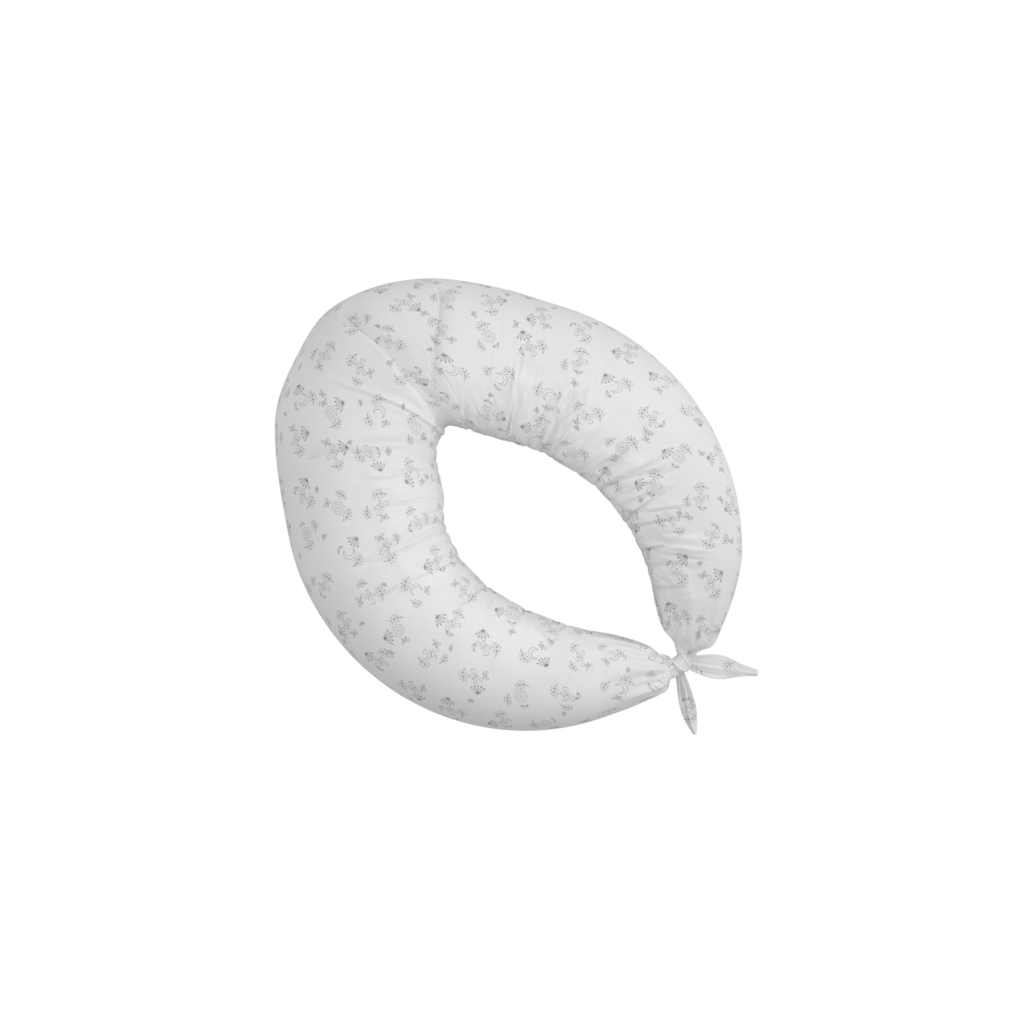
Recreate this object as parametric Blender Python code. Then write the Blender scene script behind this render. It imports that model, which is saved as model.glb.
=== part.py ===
"""Nursing pillow: a long stuffed crescent whose two tie ends are knotted, so that it lies as a ring.

Metres, +Z up. The origin is at the middle of the footprint, on the surface that the pillow lies on.
+Y points to the bend of the ring and -Y to the knot. Each soft layer is a left and a right half that
meet at the bend, because the ring can be folded there.
"""

import math

import bmesh
import bpy
from mathutils import Vector

# ---------------------------------------------------------------------------------------------------
# Driving dimensions
# ---------------------------------------------------------------------------------------------------

GAP = 0.0003  # between pieces that touch on the real pillow
OVERLAP = 0.0002  # between boxes that are joined into one body
SPLIT_X = 0.025  # plane where the left and right halves meet, through the bend

# The outer seam of each arm is an arc seen from above.
LEFT_CENTRE = (0.049, 0.0185)
LEFT_SEAM_RADIUS = 0.3300
RIGHT_CENTRE = (-0.056, 0.0025)
RIGHT_OUTER_RADIUS = 0.3455
ARC_STEP = 7.0  # degrees between sections
RIGHT_STEP_RATIO = 1.15  # the right arm carries no zip, so its sections are further apart

# Width of the tube at angles round the arm's own centre, degrees and metres.
LEFT_WIDTHS = ((150, 0.212), (170, 0.204), (190, 0.193), (210, 0.179), (230, 0.152), (250, 0.105))
RIGHT_WIDTHS = ((-50, 0.132), (-35, 0.158), (-15, 0.179), (5, 0.194), (30, 0.197))

# Sections that are set by hand, as (outer point, inner point) seen from above.
LEFT_NECK = (
    ((-0.0090, -0.2990), (0.0014, -0.2855)),
    ((-0.0200, -0.3030), (-0.0005, -0.2620)),
    ((-0.0380, -0.3040), (-0.0120, -0.2310)),
)
LEFT_BEND = (
    ((-0.2110, 0.2385), (-0.0450, 0.0980)),
    ((-0.1690, 0.2925), (-0.0310, 0.1190)),
    ((-0.1160, 0.3435), (-0.0160, 0.1380)),
    ((-0.0480, 0.3715), (0.0020, 0.1530)),
)
SPLIT_SECTION = ((SPLIT_X, 0.3845), (SPLIT_X, 0.1560))
RIGHT_BEND = (
    ((0.0960, 0.3600), (0.0400, 0.1390)),
    ((0.1550, 0.3150), (0.0510, 0.1200)),
    ((0.1970, 0.2610), (0.0590, 0.1050)),
    ((0.2280, 0.2080), (0.0655, 0.0910)),
)
RIGHT_NECK = (
    ((0.1150, -0.2900), (0.0580, -0.1990)),
    ((0.0830, -0.3030), (0.0410, -0.2290)),
    ((0.0600, -0.3070), (0.0310, -0.2490)),
    ((0.0425, -0.3040), (0.0260, -0.2690)),
    ((0.0350, -0.2980), (0.0250, -0.2840)),
)

# The cross section: wide tubes are a little flatter than narrow ones.
ROUND_RATIO = 1.03  # height over width of a tube of no width
FLATTEN = 0.75  # how much that ratio falls for each metre of width
KNOT_HEIGHT = 0.048  # of the necks' and the knot's centre above the floor
SINK = 0.06  # share of the half height that is pressed flat by the floor
ROUNDNESS = 0.92  # under 1 makes the section fuller than an ellipse
SEAM_HEIGHT = 0.045  # of the two long seams, wherever the tube is tall enough
SEAM_DROP = 0.10  # of the tube's height, how far below its middle the seams run on narrow tubes

# Layers, as depths below the outer surface.
COVER = (0.0, 0.0012)
TAPE = (0.0016, 0.0022)
CASING = (0.0030, 0.0038)
FILL_DEPTH = 0.0050
COLUMNS = 6  # across each panel, besides the one that lies over the zip's tape

# The zip, in the outer seam of the left arm.
ZIP_FIRST = 171.0  # degrees round the left arm's centre, at the closed end
ZIP_LAST = 220.0  # at the open end
ZIP_SLOT = 0.0046  # half the height of the slot between the panels
COIL_HALF = 0.0020  # half the height of the closed chain
COIL = (-0.0010, 0.0010)
TAPE_EDGE = 0.0005  # from the chain's middle line to a tape's inner edge
TAPE_HEIGHT = 0.0130
TAPE_SHARE = 0.3  # of the half height, the same place on tubes too narrow for a tape
STOP_ANGLE = 1.2  # degrees of arc that a stop covers
STOP_HALF = 0.0030
SLIDER_INSET = 2.4  # degrees from the closed end of the chain to the slider's middle
SLIDER_LENGTH = 0.0110
SLIDER_PLATE = (0.0019, 0.0031)
SLIDER_FLANGE = (0.0027, 0.0038)
SLIDER_FLANGE_DEPTH = 0.0007
CROWN_REACH = 0.0034
CROWN_LEG = 0.0009
CROWN_HALF = 0.0008
CROWN_TOP = (0.0049, 0.0057)
PULL_AXIS = 0.0040  # outwards from the seam's arc
PULL_THICK = 0.0010
PULL_BAR_HALF = 0.00045
PULL_RAIL = (0.0015, 0.0024)
PULL_START = 0.0046
PULL_END = 0.0250

# The knot: one strand lies inside, the other wraps round it.
KNOT = (0.0120, -0.2965, KNOT_HEIGHT)
CORE_RADIUS = 0.0088
CORE_HALF_LENGTH = 0.0105
BAND_HALF_WIDTH = 0.0075
BAND_INNER = 0.0094
BAND_THICK = 0.0066
# Each tail: where it leaves the knot, its tip, and half widths at shares of its length.
TAIL_THICK = 0.0050
TAIL_SIDES = 12
TAIL_RIGHT = {
    "root": (0.0250, -0.3060, 0.0400),
    "tip": (0.0739, -0.3776, 0.0085),
    "sag": 0.010,
    "outline": ((0.0, 0.0045), (0.12, 0.0085), (0.28, 0.0165), (0.45, 0.0195), (0.65, 0.0150),
                (0.85, 0.0085), (0.96, 0.0055), (1.0, 0.0035)),
}
TAIL_DOWN = {
    "root": (-0.0030, -0.3060, 0.0400),
    "tip": (-0.0461, -0.3716, 0.0085),
    "sag": 0.009,
    "outline": ((0.0, 0.0045), (0.12, 0.0070), (0.30, 0.0110), (0.50, 0.0130), (0.70, 0.0115),
                (0.88, 0.0070), (1.0, 0.0030)),
}

# name: (colour, roughness, metallic)
MATERIALS = {
    "printed_cotton": ((0.80, 0.80, 0.80), 0.85, 0.0),
    "casing_cotton": ((0.86, 0.85, 0.82), 0.85, 0.0),
    "fibre_fill": ((0.93, 0.93, 0.93), 0.95, 0.0),
    "zip_tape": ((0.82, 0.82, 0.82), 0.80, 0.0),
    "zip_coil": ((0.86, 0.86, 0.86), 0.45, 0.0),
    "zip_metal": ((0.62, 0.62, 0.63), 0.35, 0.9),
}


# ---------------------------------------------------------------------------------------------------
# Small helpers
# ---------------------------------------------------------------------------------------------------

def clear_scene():
    for obj in list(bpy.data.objects):
        bpy.data.objects.remove(obj, do_unlink=True)


def material(name):
    found = bpy.data.materials.get(name)
    if found:
        return found
    colour, roughness, metallic = MATERIALS[name]
    made = bpy.data.materials.new(name)
    made.use_nodes = True
    shader = made.node_tree.nodes["Principled BSDF"]
    shader.inputs["Base Color"].default_value = (*colour, 1.0)
    shader.inputs["Roughness"].default_value = roughness
    shader.inputs["Metallic"].default_value = metallic
    return made


def add_object(name, bm, material_name, origin=(0.0, 0.0, 0.0)):
    """Links a finished mesh as an object whose own origin is at the given point."""
    bmesh.ops.recalc_face_normals(bm, faces=bm.faces)
    bmesh.ops.translate(bm, verts=bm.verts, vec=-Vector(origin))
    mesh = bpy.data.meshes.new(name)
    bm.to_mesh(mesh)
    bm.free()
    mesh.shade_smooth()
    mesh.set_sharp_from_angle(angle=math.radians(40))
    mesh.materials.append(material(material_name))
    obj = bpy.data.objects.new(name, mesh)
    obj.location = origin
    bpy.context.collection.objects.link(obj)
    return obj


def interpolate(table, at):
    """A value from ((position, value), ...), straight between its rows."""
    for (x0, y0), (x1, y1) in zip(table, table[1:]):
        if at <= x1:
            share = max(0.0, (at - x0) / (x1 - x0))
            return y0 + (y1 - y0) * share
    return table[-1][1]


def smooth_max(a, b, band=0.012):
    return max(a, b) + max(band - abs(a - b), 0.0) ** 2 / (4 * band)


def loft(rings, turned=None):
    """A closed body through rings of points, with flat ends.

    From the column called turned on, the quads are cut along their other diagonal, so that layers
    whose rings run back and forth keep an even distance from each other.
    """
    bm = bmesh.new()
    rows = [[bm.verts.new(point) for point in ring] for ring in rings]
    count = len(rows[0])
    for first, second in zip(rows, rows[1:]):
        for i in range(count):
            j = (i + 1) % count
            if turned is None or i < turned:
                bm.faces.new((first[i], first[j], second[j]))
                bm.faces.new((first[i], second[j], second[i]))
            else:
                bm.faces.new((first[i], first[j], second[i]))
                bm.faces.new((first[j], second[j], second[i]))
    for end in (rows[0], rows[-1]):
        bm.faces.new(end)
    return bm


def box(bm, low, high):
    """Adds one box to a mesh, in its own axes."""
    made = bmesh.ops.create_cube(bm, size=1.0)
    size = Vector(high) - Vector(low)
    middle = (Vector(high) + Vector(low)) / 2
    bmesh.ops.scale(bm, vec=size, verts=made["verts"])
    bmesh.ops.translate(bm, vec=middle, verts=made["verts"])


# ---------------------------------------------------------------------------------------------------
# Cross sections of the tube
# ---------------------------------------------------------------------------------------------------

class Section:
    """A vertical slice across the tube, from its inner edge to its outer edge."""

    def __init__(self, outer, inner, zip_slot=False):
        self.outer = Vector((*outer, 0.0))
        self.inner = Vector((*inner, 0.0))
        self.middle = (self.outer + self.inner) / 2
        self.half_width = (self.outer - self.inner).length / 2
        self.direction = (self.outer - self.inner).normalized()
        self.half_height = half_height(2 * self.half_width)
        self.centre_z = smooth_max(self.half_height, KNOT_HEIGHT)
        self.seam_z = seam_height(self.centre_z, self.half_height)
        self.zip_slot = zip_slot

    def reach(self, below, depth):
        return self.half_height * (1 + SINK * below) - depth

    def point(self, angle, depth):
        """A point of the profile at an angle from its outer edge, at a depth below the surface."""
        across = signed_power(math.cos(angle)) * (self.half_width - depth)
        up = signed_power(math.sin(angle)) * self.reach(math.sin(angle) < 0, depth)
        z = max(self.centre_z + up, depth)
        spot = self.middle + self.direction * across
        return Vector((spot.x, spot.y, z))

    def angle_at(self, z, depth):
        """The angle from the outer edge at which the profile passes a height."""
        rise = z - self.centre_z
        share = min(1.0, abs(rise) / self.reach(rise < 0, depth))
        return math.copysign(math.asin(share ** (1 / ROUNDNESS)), rise)

    def columns(self, side):
        """Angles from the outer seam to the inner one, over the top (side 1) or the bottom (-1)."""
        seam = self.angle_at(self.seam_z, 0.0)
        tape_edge = min(TAPE_HEIGHT, TAPE_SHARE * self.half_height)
        first = self.angle_at(self.seam_z + side * tape_edge, 0.0)
        last = side * math.pi - seam
        return [seam] + [first + (last - first) * i / COLUMNS for i in range(COLUMNS + 1)]


def signed_power(value):
    return math.copysign(abs(value) ** ROUNDNESS, value)


def half_height(width):
    return width * (ROUND_RATIO - FLATTEN * width) / 2


def seam_height(centre_z, half):
    return min(SEAM_HEIGHT, centre_z - 2 * SEAM_DROP * half)


def moved(section, shift_x):
    outer = (section[0][0] + shift_x, section[0][1])
    inner = (section[1][0] + shift_x, section[1][1])
    return Section(outer, inner)


def polar(centre, radius, degrees):
    turn = math.radians(degrees)
    return centre[0] + radius * math.cos(turn), centre[1] + radius * math.sin(turn)


def left_arc_section(degrees):
    """A section whose outer seam lies exactly on the left arm's seam arc."""
    width = interpolate(LEFT_WIDTHS, degrees)
    half = half_height(width)
    centre_z = smooth_max(half, KNOT_HEIGHT)
    share = (centre_z - seam_height(centre_z, half)) / (half * (1 + SINK))
    seam_turn = math.asin(share ** (1 / ROUNDNESS))
    outer_radius = LEFT_SEAM_RADIUS + width / 2 * (1 - math.cos(seam_turn) ** ROUNDNESS)
    has_slot = ZIP_FIRST - 1 < degrees < ZIP_LAST + 1
    return Section(polar(LEFT_CENTRE, outer_radius, degrees),
                   polar(LEFT_CENTRE, outer_radius - width, degrees), has_slot)


def right_arc_section(degrees):
    width = interpolate(RIGHT_WIDTHS, degrees)
    return Section(polar(RIGHT_CENTRE, RIGHT_OUTER_RADIUS, degrees),
                   polar(RIGHT_CENTRE, RIGHT_OUTER_RADIUS - width, degrees))


def steps(first, last, step):
    count = round(abs(last - first) / step)
    return [first + (last - first) * i / count for i in range(count + 1)]


def left_sections():
    """From the left neck, round the left arm, to the split at the bend."""
    neck = [Section(*pair) for pair in LEFT_NECK]
    arc = [left_arc_section(turn) for turn in steps(248.0, 150.0, ARC_STEP)]
    bend = [Section(*pair) for pair in LEFT_BEND]
    return neck + arc + bend + [moved(SPLIT_SECTION, -GAP / 2)]


def right_sections():
    """From the split at the bend, round the right arm, to the right neck."""
    bend = [Section(*pair) for pair in RIGHT_BEND]
    arc = [right_arc_section(turn) for turn in steps(30.0, -50.0, ARC_STEP * RIGHT_STEP_RATIO)]
    neck = [Section(*pair) for pair in RIGHT_NECK]
    return [moved(SPLIT_SECTION, GAP / 2)] + bend + arc + neck


# ---------------------------------------------------------------------------------------------------
# Soft layers
# ---------------------------------------------------------------------------------------------------

def across_panel(section, side, depth, slot):
    """Points across one panel at a depth, from its outer seam to its inner seam."""
    outer_gap = slot if section.zip_slot else GAP / 2
    start = section.angle_at(section.seam_z + side * outer_gap, depth)
    end = side * math.pi - section.angle_at(section.seam_z + side * GAP / 2, depth)
    turns = [start] + section.columns(side)[1:-1] + [end]
    return [section.point(turn, depth) for turn in turns]


def panel(name, sections, side, depths, slot, material_name):
    """One sewn panel: an open half shell from seam to seam, as thick as its cloth."""
    rings = []
    for section in sections:
        outside, inside = (across_panel(section, side, depth, slot) for depth in depths)
        rings.append(outside + inside[::-1])
    return add_object(name, loft(rings, len(rings[0]) // 2), material_name)


def filling(name, sections):
    rings = []
    for section in sections:
        turns = section.columns(1) + section.columns(-1)[-2:0:-1]
        rings.append([section.point(turn, FILL_DEPTH) for turn in turns])
    return add_object(name, loft(rings, COLUMNS + 1), "fibre_fill")


def make_soft_layers():
    for side, sections in (("left", left_sections()), ("right", right_sections())):
        # The casing and the filling stop where the neck is too narrow to hold them.
        wide = [s for s in sections if s.half_width > 0.018]
        for face, level in ((1, "upper"), (-1, "lower")):
            panel(f"cover_{level}_{side}", sections, face, COVER, ZIP_SLOT, "printed_cotton")
            panel(f"casing_{level}_{side}", wide, face, CASING, GAP / 2, "casing_cotton")
        filling(f"filling_{side}", wide)


# ---------------------------------------------------------------------------------------------------
# Zip
# ---------------------------------------------------------------------------------------------------

def seam_strip(name, sections, depths, low, high, material_name):
    """A strip that follows the outer seam, between two heights measured from it."""
    rings = []
    for section in sections:
        ring = []
        for depth, heights in ((depths[0], (low, high)), (depths[1], (high, low))):
            for height in heights:
                ring.append(section.point(section.angle_at(section.seam_z + height, depth), depth))
        rings.append(ring)
    return add_object(name, loft(rings, 2), material_name)


def arc_block(name, first, last, out, up, material_name):
    """A block on the seam's arc, between two angles, two distances outwards and two heights."""
    rings = []
    for turn in (first, last):
        ring = []
        for distance, height in ((out[0], up[0]), (out[1], up[0]), (out[1], up[1]), (out[0], up[1])):
            spot = polar(LEFT_CENTRE, LEFT_SEAM_RADIUS + distance, turn)
            ring.append(Vector((*spot, SEAM_HEIGHT + height)))
        rings.append(ring)
    return add_object(name, loft(rings), material_name)


def place_on_seam(obj, degrees):
    """Turns an object built with x outwards and y along the seam to its place on the arc."""
    obj.rotation_euler = (0.0, 0.0, math.radians(degrees))
    obj.location = (*polar(LEFT_CENTRE, LEFT_SEAM_RADIUS, degrees), SEAM_HEIGHT)


def united(name, boxes, material_name):
    """Boxes joined into one body by exact unions."""
    bodies = []
    for low, high in boxes:
        bm = bmesh.new()
        box(bm, low, high)
        bodies.append(add_object(name, bm, material_name))
    body, cutters = bodies[0], bodies[1:]
    body.name = name
    for number, cutter in enumerate(cutters):
        cutter.name = f"{name}_tool_{number}"
        cutter.hide_render = True
        cutter.hide_viewport = True
        cutter.display_type = "WIRE"
        join = body.modifiers.new(f"join_{number}", "BOOLEAN")
        join.operation = "UNION"
        join.object = cutter
        cutter.parent = body
    return body


def make_slider(degrees):
    half = SLIDER_LENGTH / 2
    plate_in, plate_out = SLIDER_PLATE
    flange_in, flange_out = SLIDER_FLANGE
    boxes = [((plate_in, -half, -flange_out), (plate_out, half, flange_out))]
    for side in (-1, 1):
        low, high = sorted((side * flange_in, side * flange_out))
        boxes.append(((-SLIDER_FLANGE_DEPTH, -half, low), (plate_in + OVERLAP, half, high)))
        near, far = sorted((side * (CROWN_REACH - CROWN_LEG), side * CROWN_REACH))
        boxes.append(((plate_out - OVERLAP, near, -CROWN_HALF),
                      (CROWN_TOP[0] + OVERLAP, far, CROWN_HALF)))
    boxes.append(((CROWN_TOP[0], -CROWN_REACH, -CROWN_HALF), (CROWN_TOP[1], CROWN_REACH, CROWN_HALF)))
    place_on_seam(united("zip_slider", boxes, "zip_metal"), degrees)


def make_pull(degrees):
    """A tab with two rails and a crossbar that passes under the slider's crown."""
    thin = PULL_THICK / 2
    rail_in, rail_out = PULL_RAIL
    bar = PULL_BAR_HALF
    boxes = [((PULL_AXIS - thin, PULL_START, -rail_out), (PULL_AXIS + thin, PULL_END, rail_out))]
    for side in (-1, 1):
        low, high = sorted((side * rail_in, side * rail_out))
        boxes.append(((PULL_AXIS - bar, -bar, low), (PULL_AXIS + bar, PULL_START + OVERLAP, high)))
    boxes.append(((PULL_AXIS - bar, -bar, -rail_in - OVERLAP),
                  (PULL_AXIS + bar, bar, rail_in + OVERLAP)))
    place_on_seam(united("zip_pull", boxes, "zip_metal"), degrees)


def make_zip():
    turns = steps(248.0, 150.0, ARC_STEP)
    inside = [turn for turn in turns if ZIP_FIRST - 1 < turn < ZIP_LAST + 1]
    sections = [left_arc_section(turn) for turn in inside]
    first, last = min(inside), max(inside)
    for side, level in ((1, "upper"), (-1, "lower")):
        low, high = sorted((side * TAPE_EDGE, side * TAPE_HEIGHT))
        seam_strip(f"zip_tape_{level}", sections, TAPE, low, high, "zip_tape")
        low, high = sorted((side * GAP / 2, side * COIL_HALF))
        seam_strip(f"zip_coil_{level}", sections, COIL, low, high, "zip_coil")
    clearance = math.degrees(GAP / LEFT_SEAM_RADIUS)
    stop_out = (COIL[0], -COIL[0])
    stop_up = (-STOP_HALF, STOP_HALF)
    arc_block("zip_top_stop", first - STOP_ANGLE, first - clearance, stop_out, stop_up, "zip_metal")
    arc_block("zip_bottom_stop", last + clearance, last + STOP_ANGLE, stop_out, stop_up, "zip_metal")
    make_slider(first + SLIDER_INSET)
    make_pull(first + SLIDER_INSET)


# ---------------------------------------------------------------------------------------------------
# Knot and tails
# ---------------------------------------------------------------------------------------------------

def make_knot():
    """The inner strand as a capsule along X, and the band that wraps round it."""
    knot = Vector(KNOT)
    sides = 14
    core_profile = [(-1.0, 0.35), (-0.8, 0.8), (-0.4, 1.0), (0.4, 1.0), (0.8, 0.8), (1.0, 0.35)]
    rings = [
        [knot + Vector((CORE_HALF_LENGTH * along,
                        CORE_RADIUS * share * math.cos(2 * math.pi * i / sides),
                        CORE_RADIUS * share * math.sin(2 * math.pi * i / sides)))
         for i in range(sides)]
        for along, share in core_profile
    ]
    add_object("knot_core", loft(rings), "printed_cotton")

    band = bmesh.new()
    around, across = 20, 10
    grid = []
    for i in range(around):
        turn = 2 * math.pi * i / around
        row = []
        for j in range(across):
            bulge = 2 * math.pi * j / across
            radius = BAND_INNER + BAND_THICK / 2 * (1 + math.sin(bulge))
            along = BAND_HALF_WIDTH * math.cos(bulge)
            offset = Vector((along, radius * math.cos(turn), radius * math.sin(turn)))
            row.append(band.verts.new(knot + offset))
        grid.append(row)
    for i in range(around):
        for j in range(across):
            near, far = grid[i], grid[(i + 1) % around]
            k = (j + 1) % across
            band.faces.new((near[j], near[k], far[k], far[j]))
    add_object("knot_band", band, "printed_cotton")


def make_tail(name, tail):
    """A flat leaf of doubled cloth that droops from the knot to the floor."""
    root, tip = Vector(tail["root"]), Vector(tail["tip"])
    run = tip - root
    flat = Vector((run.x, run.y, 0.0)).normalized()
    side = Vector((-flat.y, flat.x, 0.0))
    rings = []
    for share, half_width in tail["outline"]:
        centre = root + run * share
        centre.z -= tail["sag"] * math.sin(math.pi * share)
        slope = Vector((run.x, run.y, run.z - tail["sag"] * math.pi * math.cos(math.pi * share)))
        up = side.cross(slope.normalized())
        if up.z < 0:
            up.negate()
        ring = []
        for i in range(TAIL_SIDES):
            turn = 2 * math.pi * i / TAIL_SIDES
            thick = min(TAIL_THICK / 2, half_width * 0.6)
            ring.append(centre + side * half_width * math.cos(turn) + up * thick * math.sin(turn))
        rings.append(ring)
    add_object(name, loft(rings), "printed_cotton", origin=tail["root"])


def main():
    clear_scene()
    make_soft_layers()
    make_zip()
    make_knot()
    make_tail("tie_tail_right", TAIL_RIGHT)
    make_tail("tie_tail_down", TAIL_DOWN)


main()
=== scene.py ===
"""Looks of the nursing pillow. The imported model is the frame, and each visible surface is made here.

Metres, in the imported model's own frame: +Z up, +Y towards the ring's bend, -Y towards the knot.
"""

import math

import bmesh
import bpy
import numpy as np
from mathutils import Matrix, Vector


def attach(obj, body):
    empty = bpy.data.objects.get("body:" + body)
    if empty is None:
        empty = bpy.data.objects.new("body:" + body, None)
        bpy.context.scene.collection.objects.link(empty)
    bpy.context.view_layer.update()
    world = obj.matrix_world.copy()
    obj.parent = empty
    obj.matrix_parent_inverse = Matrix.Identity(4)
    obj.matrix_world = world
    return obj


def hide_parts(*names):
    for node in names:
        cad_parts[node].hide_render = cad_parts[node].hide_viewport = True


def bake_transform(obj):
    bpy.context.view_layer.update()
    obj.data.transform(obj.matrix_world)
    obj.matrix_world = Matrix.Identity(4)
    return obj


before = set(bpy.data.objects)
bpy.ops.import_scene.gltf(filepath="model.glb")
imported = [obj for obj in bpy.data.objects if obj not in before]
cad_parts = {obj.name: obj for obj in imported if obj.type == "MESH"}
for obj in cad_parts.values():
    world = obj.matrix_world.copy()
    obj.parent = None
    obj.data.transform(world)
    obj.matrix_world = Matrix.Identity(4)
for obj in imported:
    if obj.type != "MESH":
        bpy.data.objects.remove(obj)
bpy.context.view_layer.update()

# ---- The ring's outline and cross section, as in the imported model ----

LEFT_CENTRE = (0.049, 0.0185)
LEFT_SEAM_RADIUS = 0.3300
RIGHT_CENTRE = (-0.056, 0.0025)
RIGHT_OUTER_RADIUS = 0.3455
ARC_STEP = 7.0  # degrees
RIGHT_STEP_RATIO = 1.15
LEFT_ARC = (248.0, 150.0)  # degrees, from the neck to the bend
RIGHT_ARC = (30.0, -50.0)  # from the bend to the neck
# (degrees, width of the tube)
LEFT_WIDTHS = ((150, 0.212), (170, 0.204), (190, 0.193), (210, 0.179), (230, 0.152), (250, 0.105))
RIGHT_WIDTHS = ((-50, 0.132), (-35, 0.158), (-15, 0.179), (5, 0.194), (30, 0.197))

# Sections that are listed one by one, as (outer point, inner point) seen from above, in millimetres
LEFT_NECK = (
    ((-9, -299), (1.4, -285.5)), ((-20, -303), (-0.5, -262)),
    ((-38, -304), (-12, -231)),
)
LEFT_BEND = (
    ((-211, 238.5), (-45, 98)), ((-169, 292.5), (-31, 119)),
    ((-116, 343.5), (-16, 138)), ((-48, 371.5), (2, 153)),
)
SPLIT_SECTION = ((25, 384.5), (25, 156))
RIGHT_BEND = (
    ((96, 360), (40, 139)), ((155, 315), (51, 120)),
    ((197, 261), (59, 105)), ((228, 208), (65.5, 91)),
)
RIGHT_NECK = (
    ((115, -290), (58, -199)), ((83, -303), (41, -229)),
    ((60, -307), (31, -249)), ((42.5, -304), (26, -269)),
    ((35, -298), (25, -284)),
)

ROUND_RATIO = 1.03  # height over width of a very narrow section
FLATTEN = 0.75  # how much that ratio falls for each metre of width
KNOT_HEIGHT = 0.048
SINK = 0.06  # how much further a section reaches below its middle than above it
ROUNDNESS = 0.92  # 1 makes each section an ellipse, and less makes it boxier
SEAM_HEIGHT = 0.045
SEAM_DROP = 0.10  # the seam stays at least this share of the section's height under its middle

# The zip, in the outer seam of the left arm
ZIP_FIRST = 171.0
ZIP_LAST = 220.0
ZIP_SLOT = 0.0046
SLOT_SPARE = 1.5  # degrees that the slot goes on past each end of the chain, for the stops
TAPE_DEPTH = 0.0019
TAPE_HEIGHT = 0.0130
SLIDER_ANGLE = 173.4

KNOT = (0.0120, -0.2965, KNOT_HEIGHT)

# The cover's grid
ROWS = 412
BEND_SHARE = 0.525  # of the tube's length, where its rows lie closest together
BEND_SPREAD = 0.075
BEND_CLOSENESS = 1.2
UPPER_COLUMNS = 38
LOWER_COLUMNS = 21
FIXED_ENDS = 8  # rows at each end that keep their outline when it is smoothed
SMOOTH_ROUNDS = 20

CASING_DEPTH = 0.0040
FILLING_DEPTH = 0.0070


def smooth_step(low, high, value):
    share = np.clip((value - low) / (high - low), 0.0, 1.0)
    return share * share * (3 - 2 * share)


def smooth_max(a, b, band=0.012):
    return np.maximum(a, b) + np.maximum(band - np.abs(a - b), 0.0) ** 2 / (4 * band)


def signed_power(value, power=ROUNDNESS):
    return np.sign(value) * np.abs(value) ** power


def half_height_of(width):
    return width * (ROUND_RATIO - FLATTEN * width) / 2


def seam_height_of(centre_z, half):
    return np.minimum(SEAM_HEIGHT, centre_z - 2 * SEAM_DROP * half)


def table_value(table, at):
    positions, values = zip(*table)
    return np.interp(at, positions, values)


def polar(centre, radius, degrees):
    turn = np.radians(degrees)
    return np.stack([centre[0] + radius * np.cos(turn), centre[1] + radius * np.sin(turn)], axis=-1)


def left_arc_shape(degrees):
    """Width and outer radius of the left arm, such that its seam lies on its own arc."""
    width = table_value(LEFT_WIDTHS, degrees)
    half = half_height_of(width)
    centre_z = smooth_max(half, KNOT_HEIGHT)
    share = (centre_z - seam_height_of(centre_z, half)) / (half * (1 + SINK))
    seam_turn = np.arcsin(share ** (1 / ROUNDNESS))
    return width, LEFT_SEAM_RADIUS + width / 2 * (1 - np.cos(seam_turn) ** ROUNDNESS)


def arc_turns(arc, step):
    count = round(abs(arc[1] - arc[0]) / step)
    return np.linspace(arc[0], arc[1], count + 1)


def station_pairs():
    """Every section that is listed or on an arc, from the left neck round the ring to the right neck."""
    left_turns = arc_turns(LEFT_ARC, ARC_STEP)
    width, radius = left_arc_shape(left_turns)
    left = np.stack([polar(LEFT_CENTRE, radius, left_turns),
                     polar(LEFT_CENTRE, radius - width, left_turns)], axis=1)
    right_turns = arc_turns(RIGHT_ARC, ARC_STEP * RIGHT_STEP_RATIO)
    width = np.interp(right_turns, *zip(*RIGHT_WIDTHS))
    right = np.stack([polar(RIGHT_CENTRE, RIGHT_OUTER_RADIUS, right_turns),
                      polar(RIGHT_CENTRE, RIGHT_OUTER_RADIUS - width, right_turns)], axis=1)
    neck, bend, other_neck = (np.array(table) / 1000 for table in (
        LEFT_NECK, [*LEFT_BEND, SPLIT_SECTION, *RIGHT_BEND], RIGHT_NECK))
    return np.concatenate([neck, left, bend, right, other_neck])


def unit(vectors):
    return vectors / np.maximum(np.linalg.norm(vectors, axis=-1, keepdims=True), 1e-12)


def distance_along(path):
    steps = np.linalg.norm(np.diff(path, axis=0), axis=1)
    return np.concatenate([[0], np.cumsum(steps)])


def catmull_rom(points, at):
    """Points of a smooth curve through the given rows, at positions counted in rows."""
    padded = np.concatenate([[2 * points[0] - points[1]], points, [2 * points[-1] - points[-2]]])
    start = np.clip(np.floor(at).astype(int), 0, len(points) - 2)
    t = (at - start)[:, None]
    p0, p1, p2, p3 = (padded[start + k] for k in range(4))
    return 0.5 * (2 * p1 + (p2 - p0) * t + (2 * p0 - 5 * p1 + 4 * p2 - p3) * t**2
                  + (3 * p1 - p0 - 3 * p2 + p3) * t**3)


def curve(points, count):
    """That many points, evenly spread over the rows."""
    return catmull_rom(np.array(points, dtype=float), np.linspace(0, len(points) - 1, count))


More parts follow.
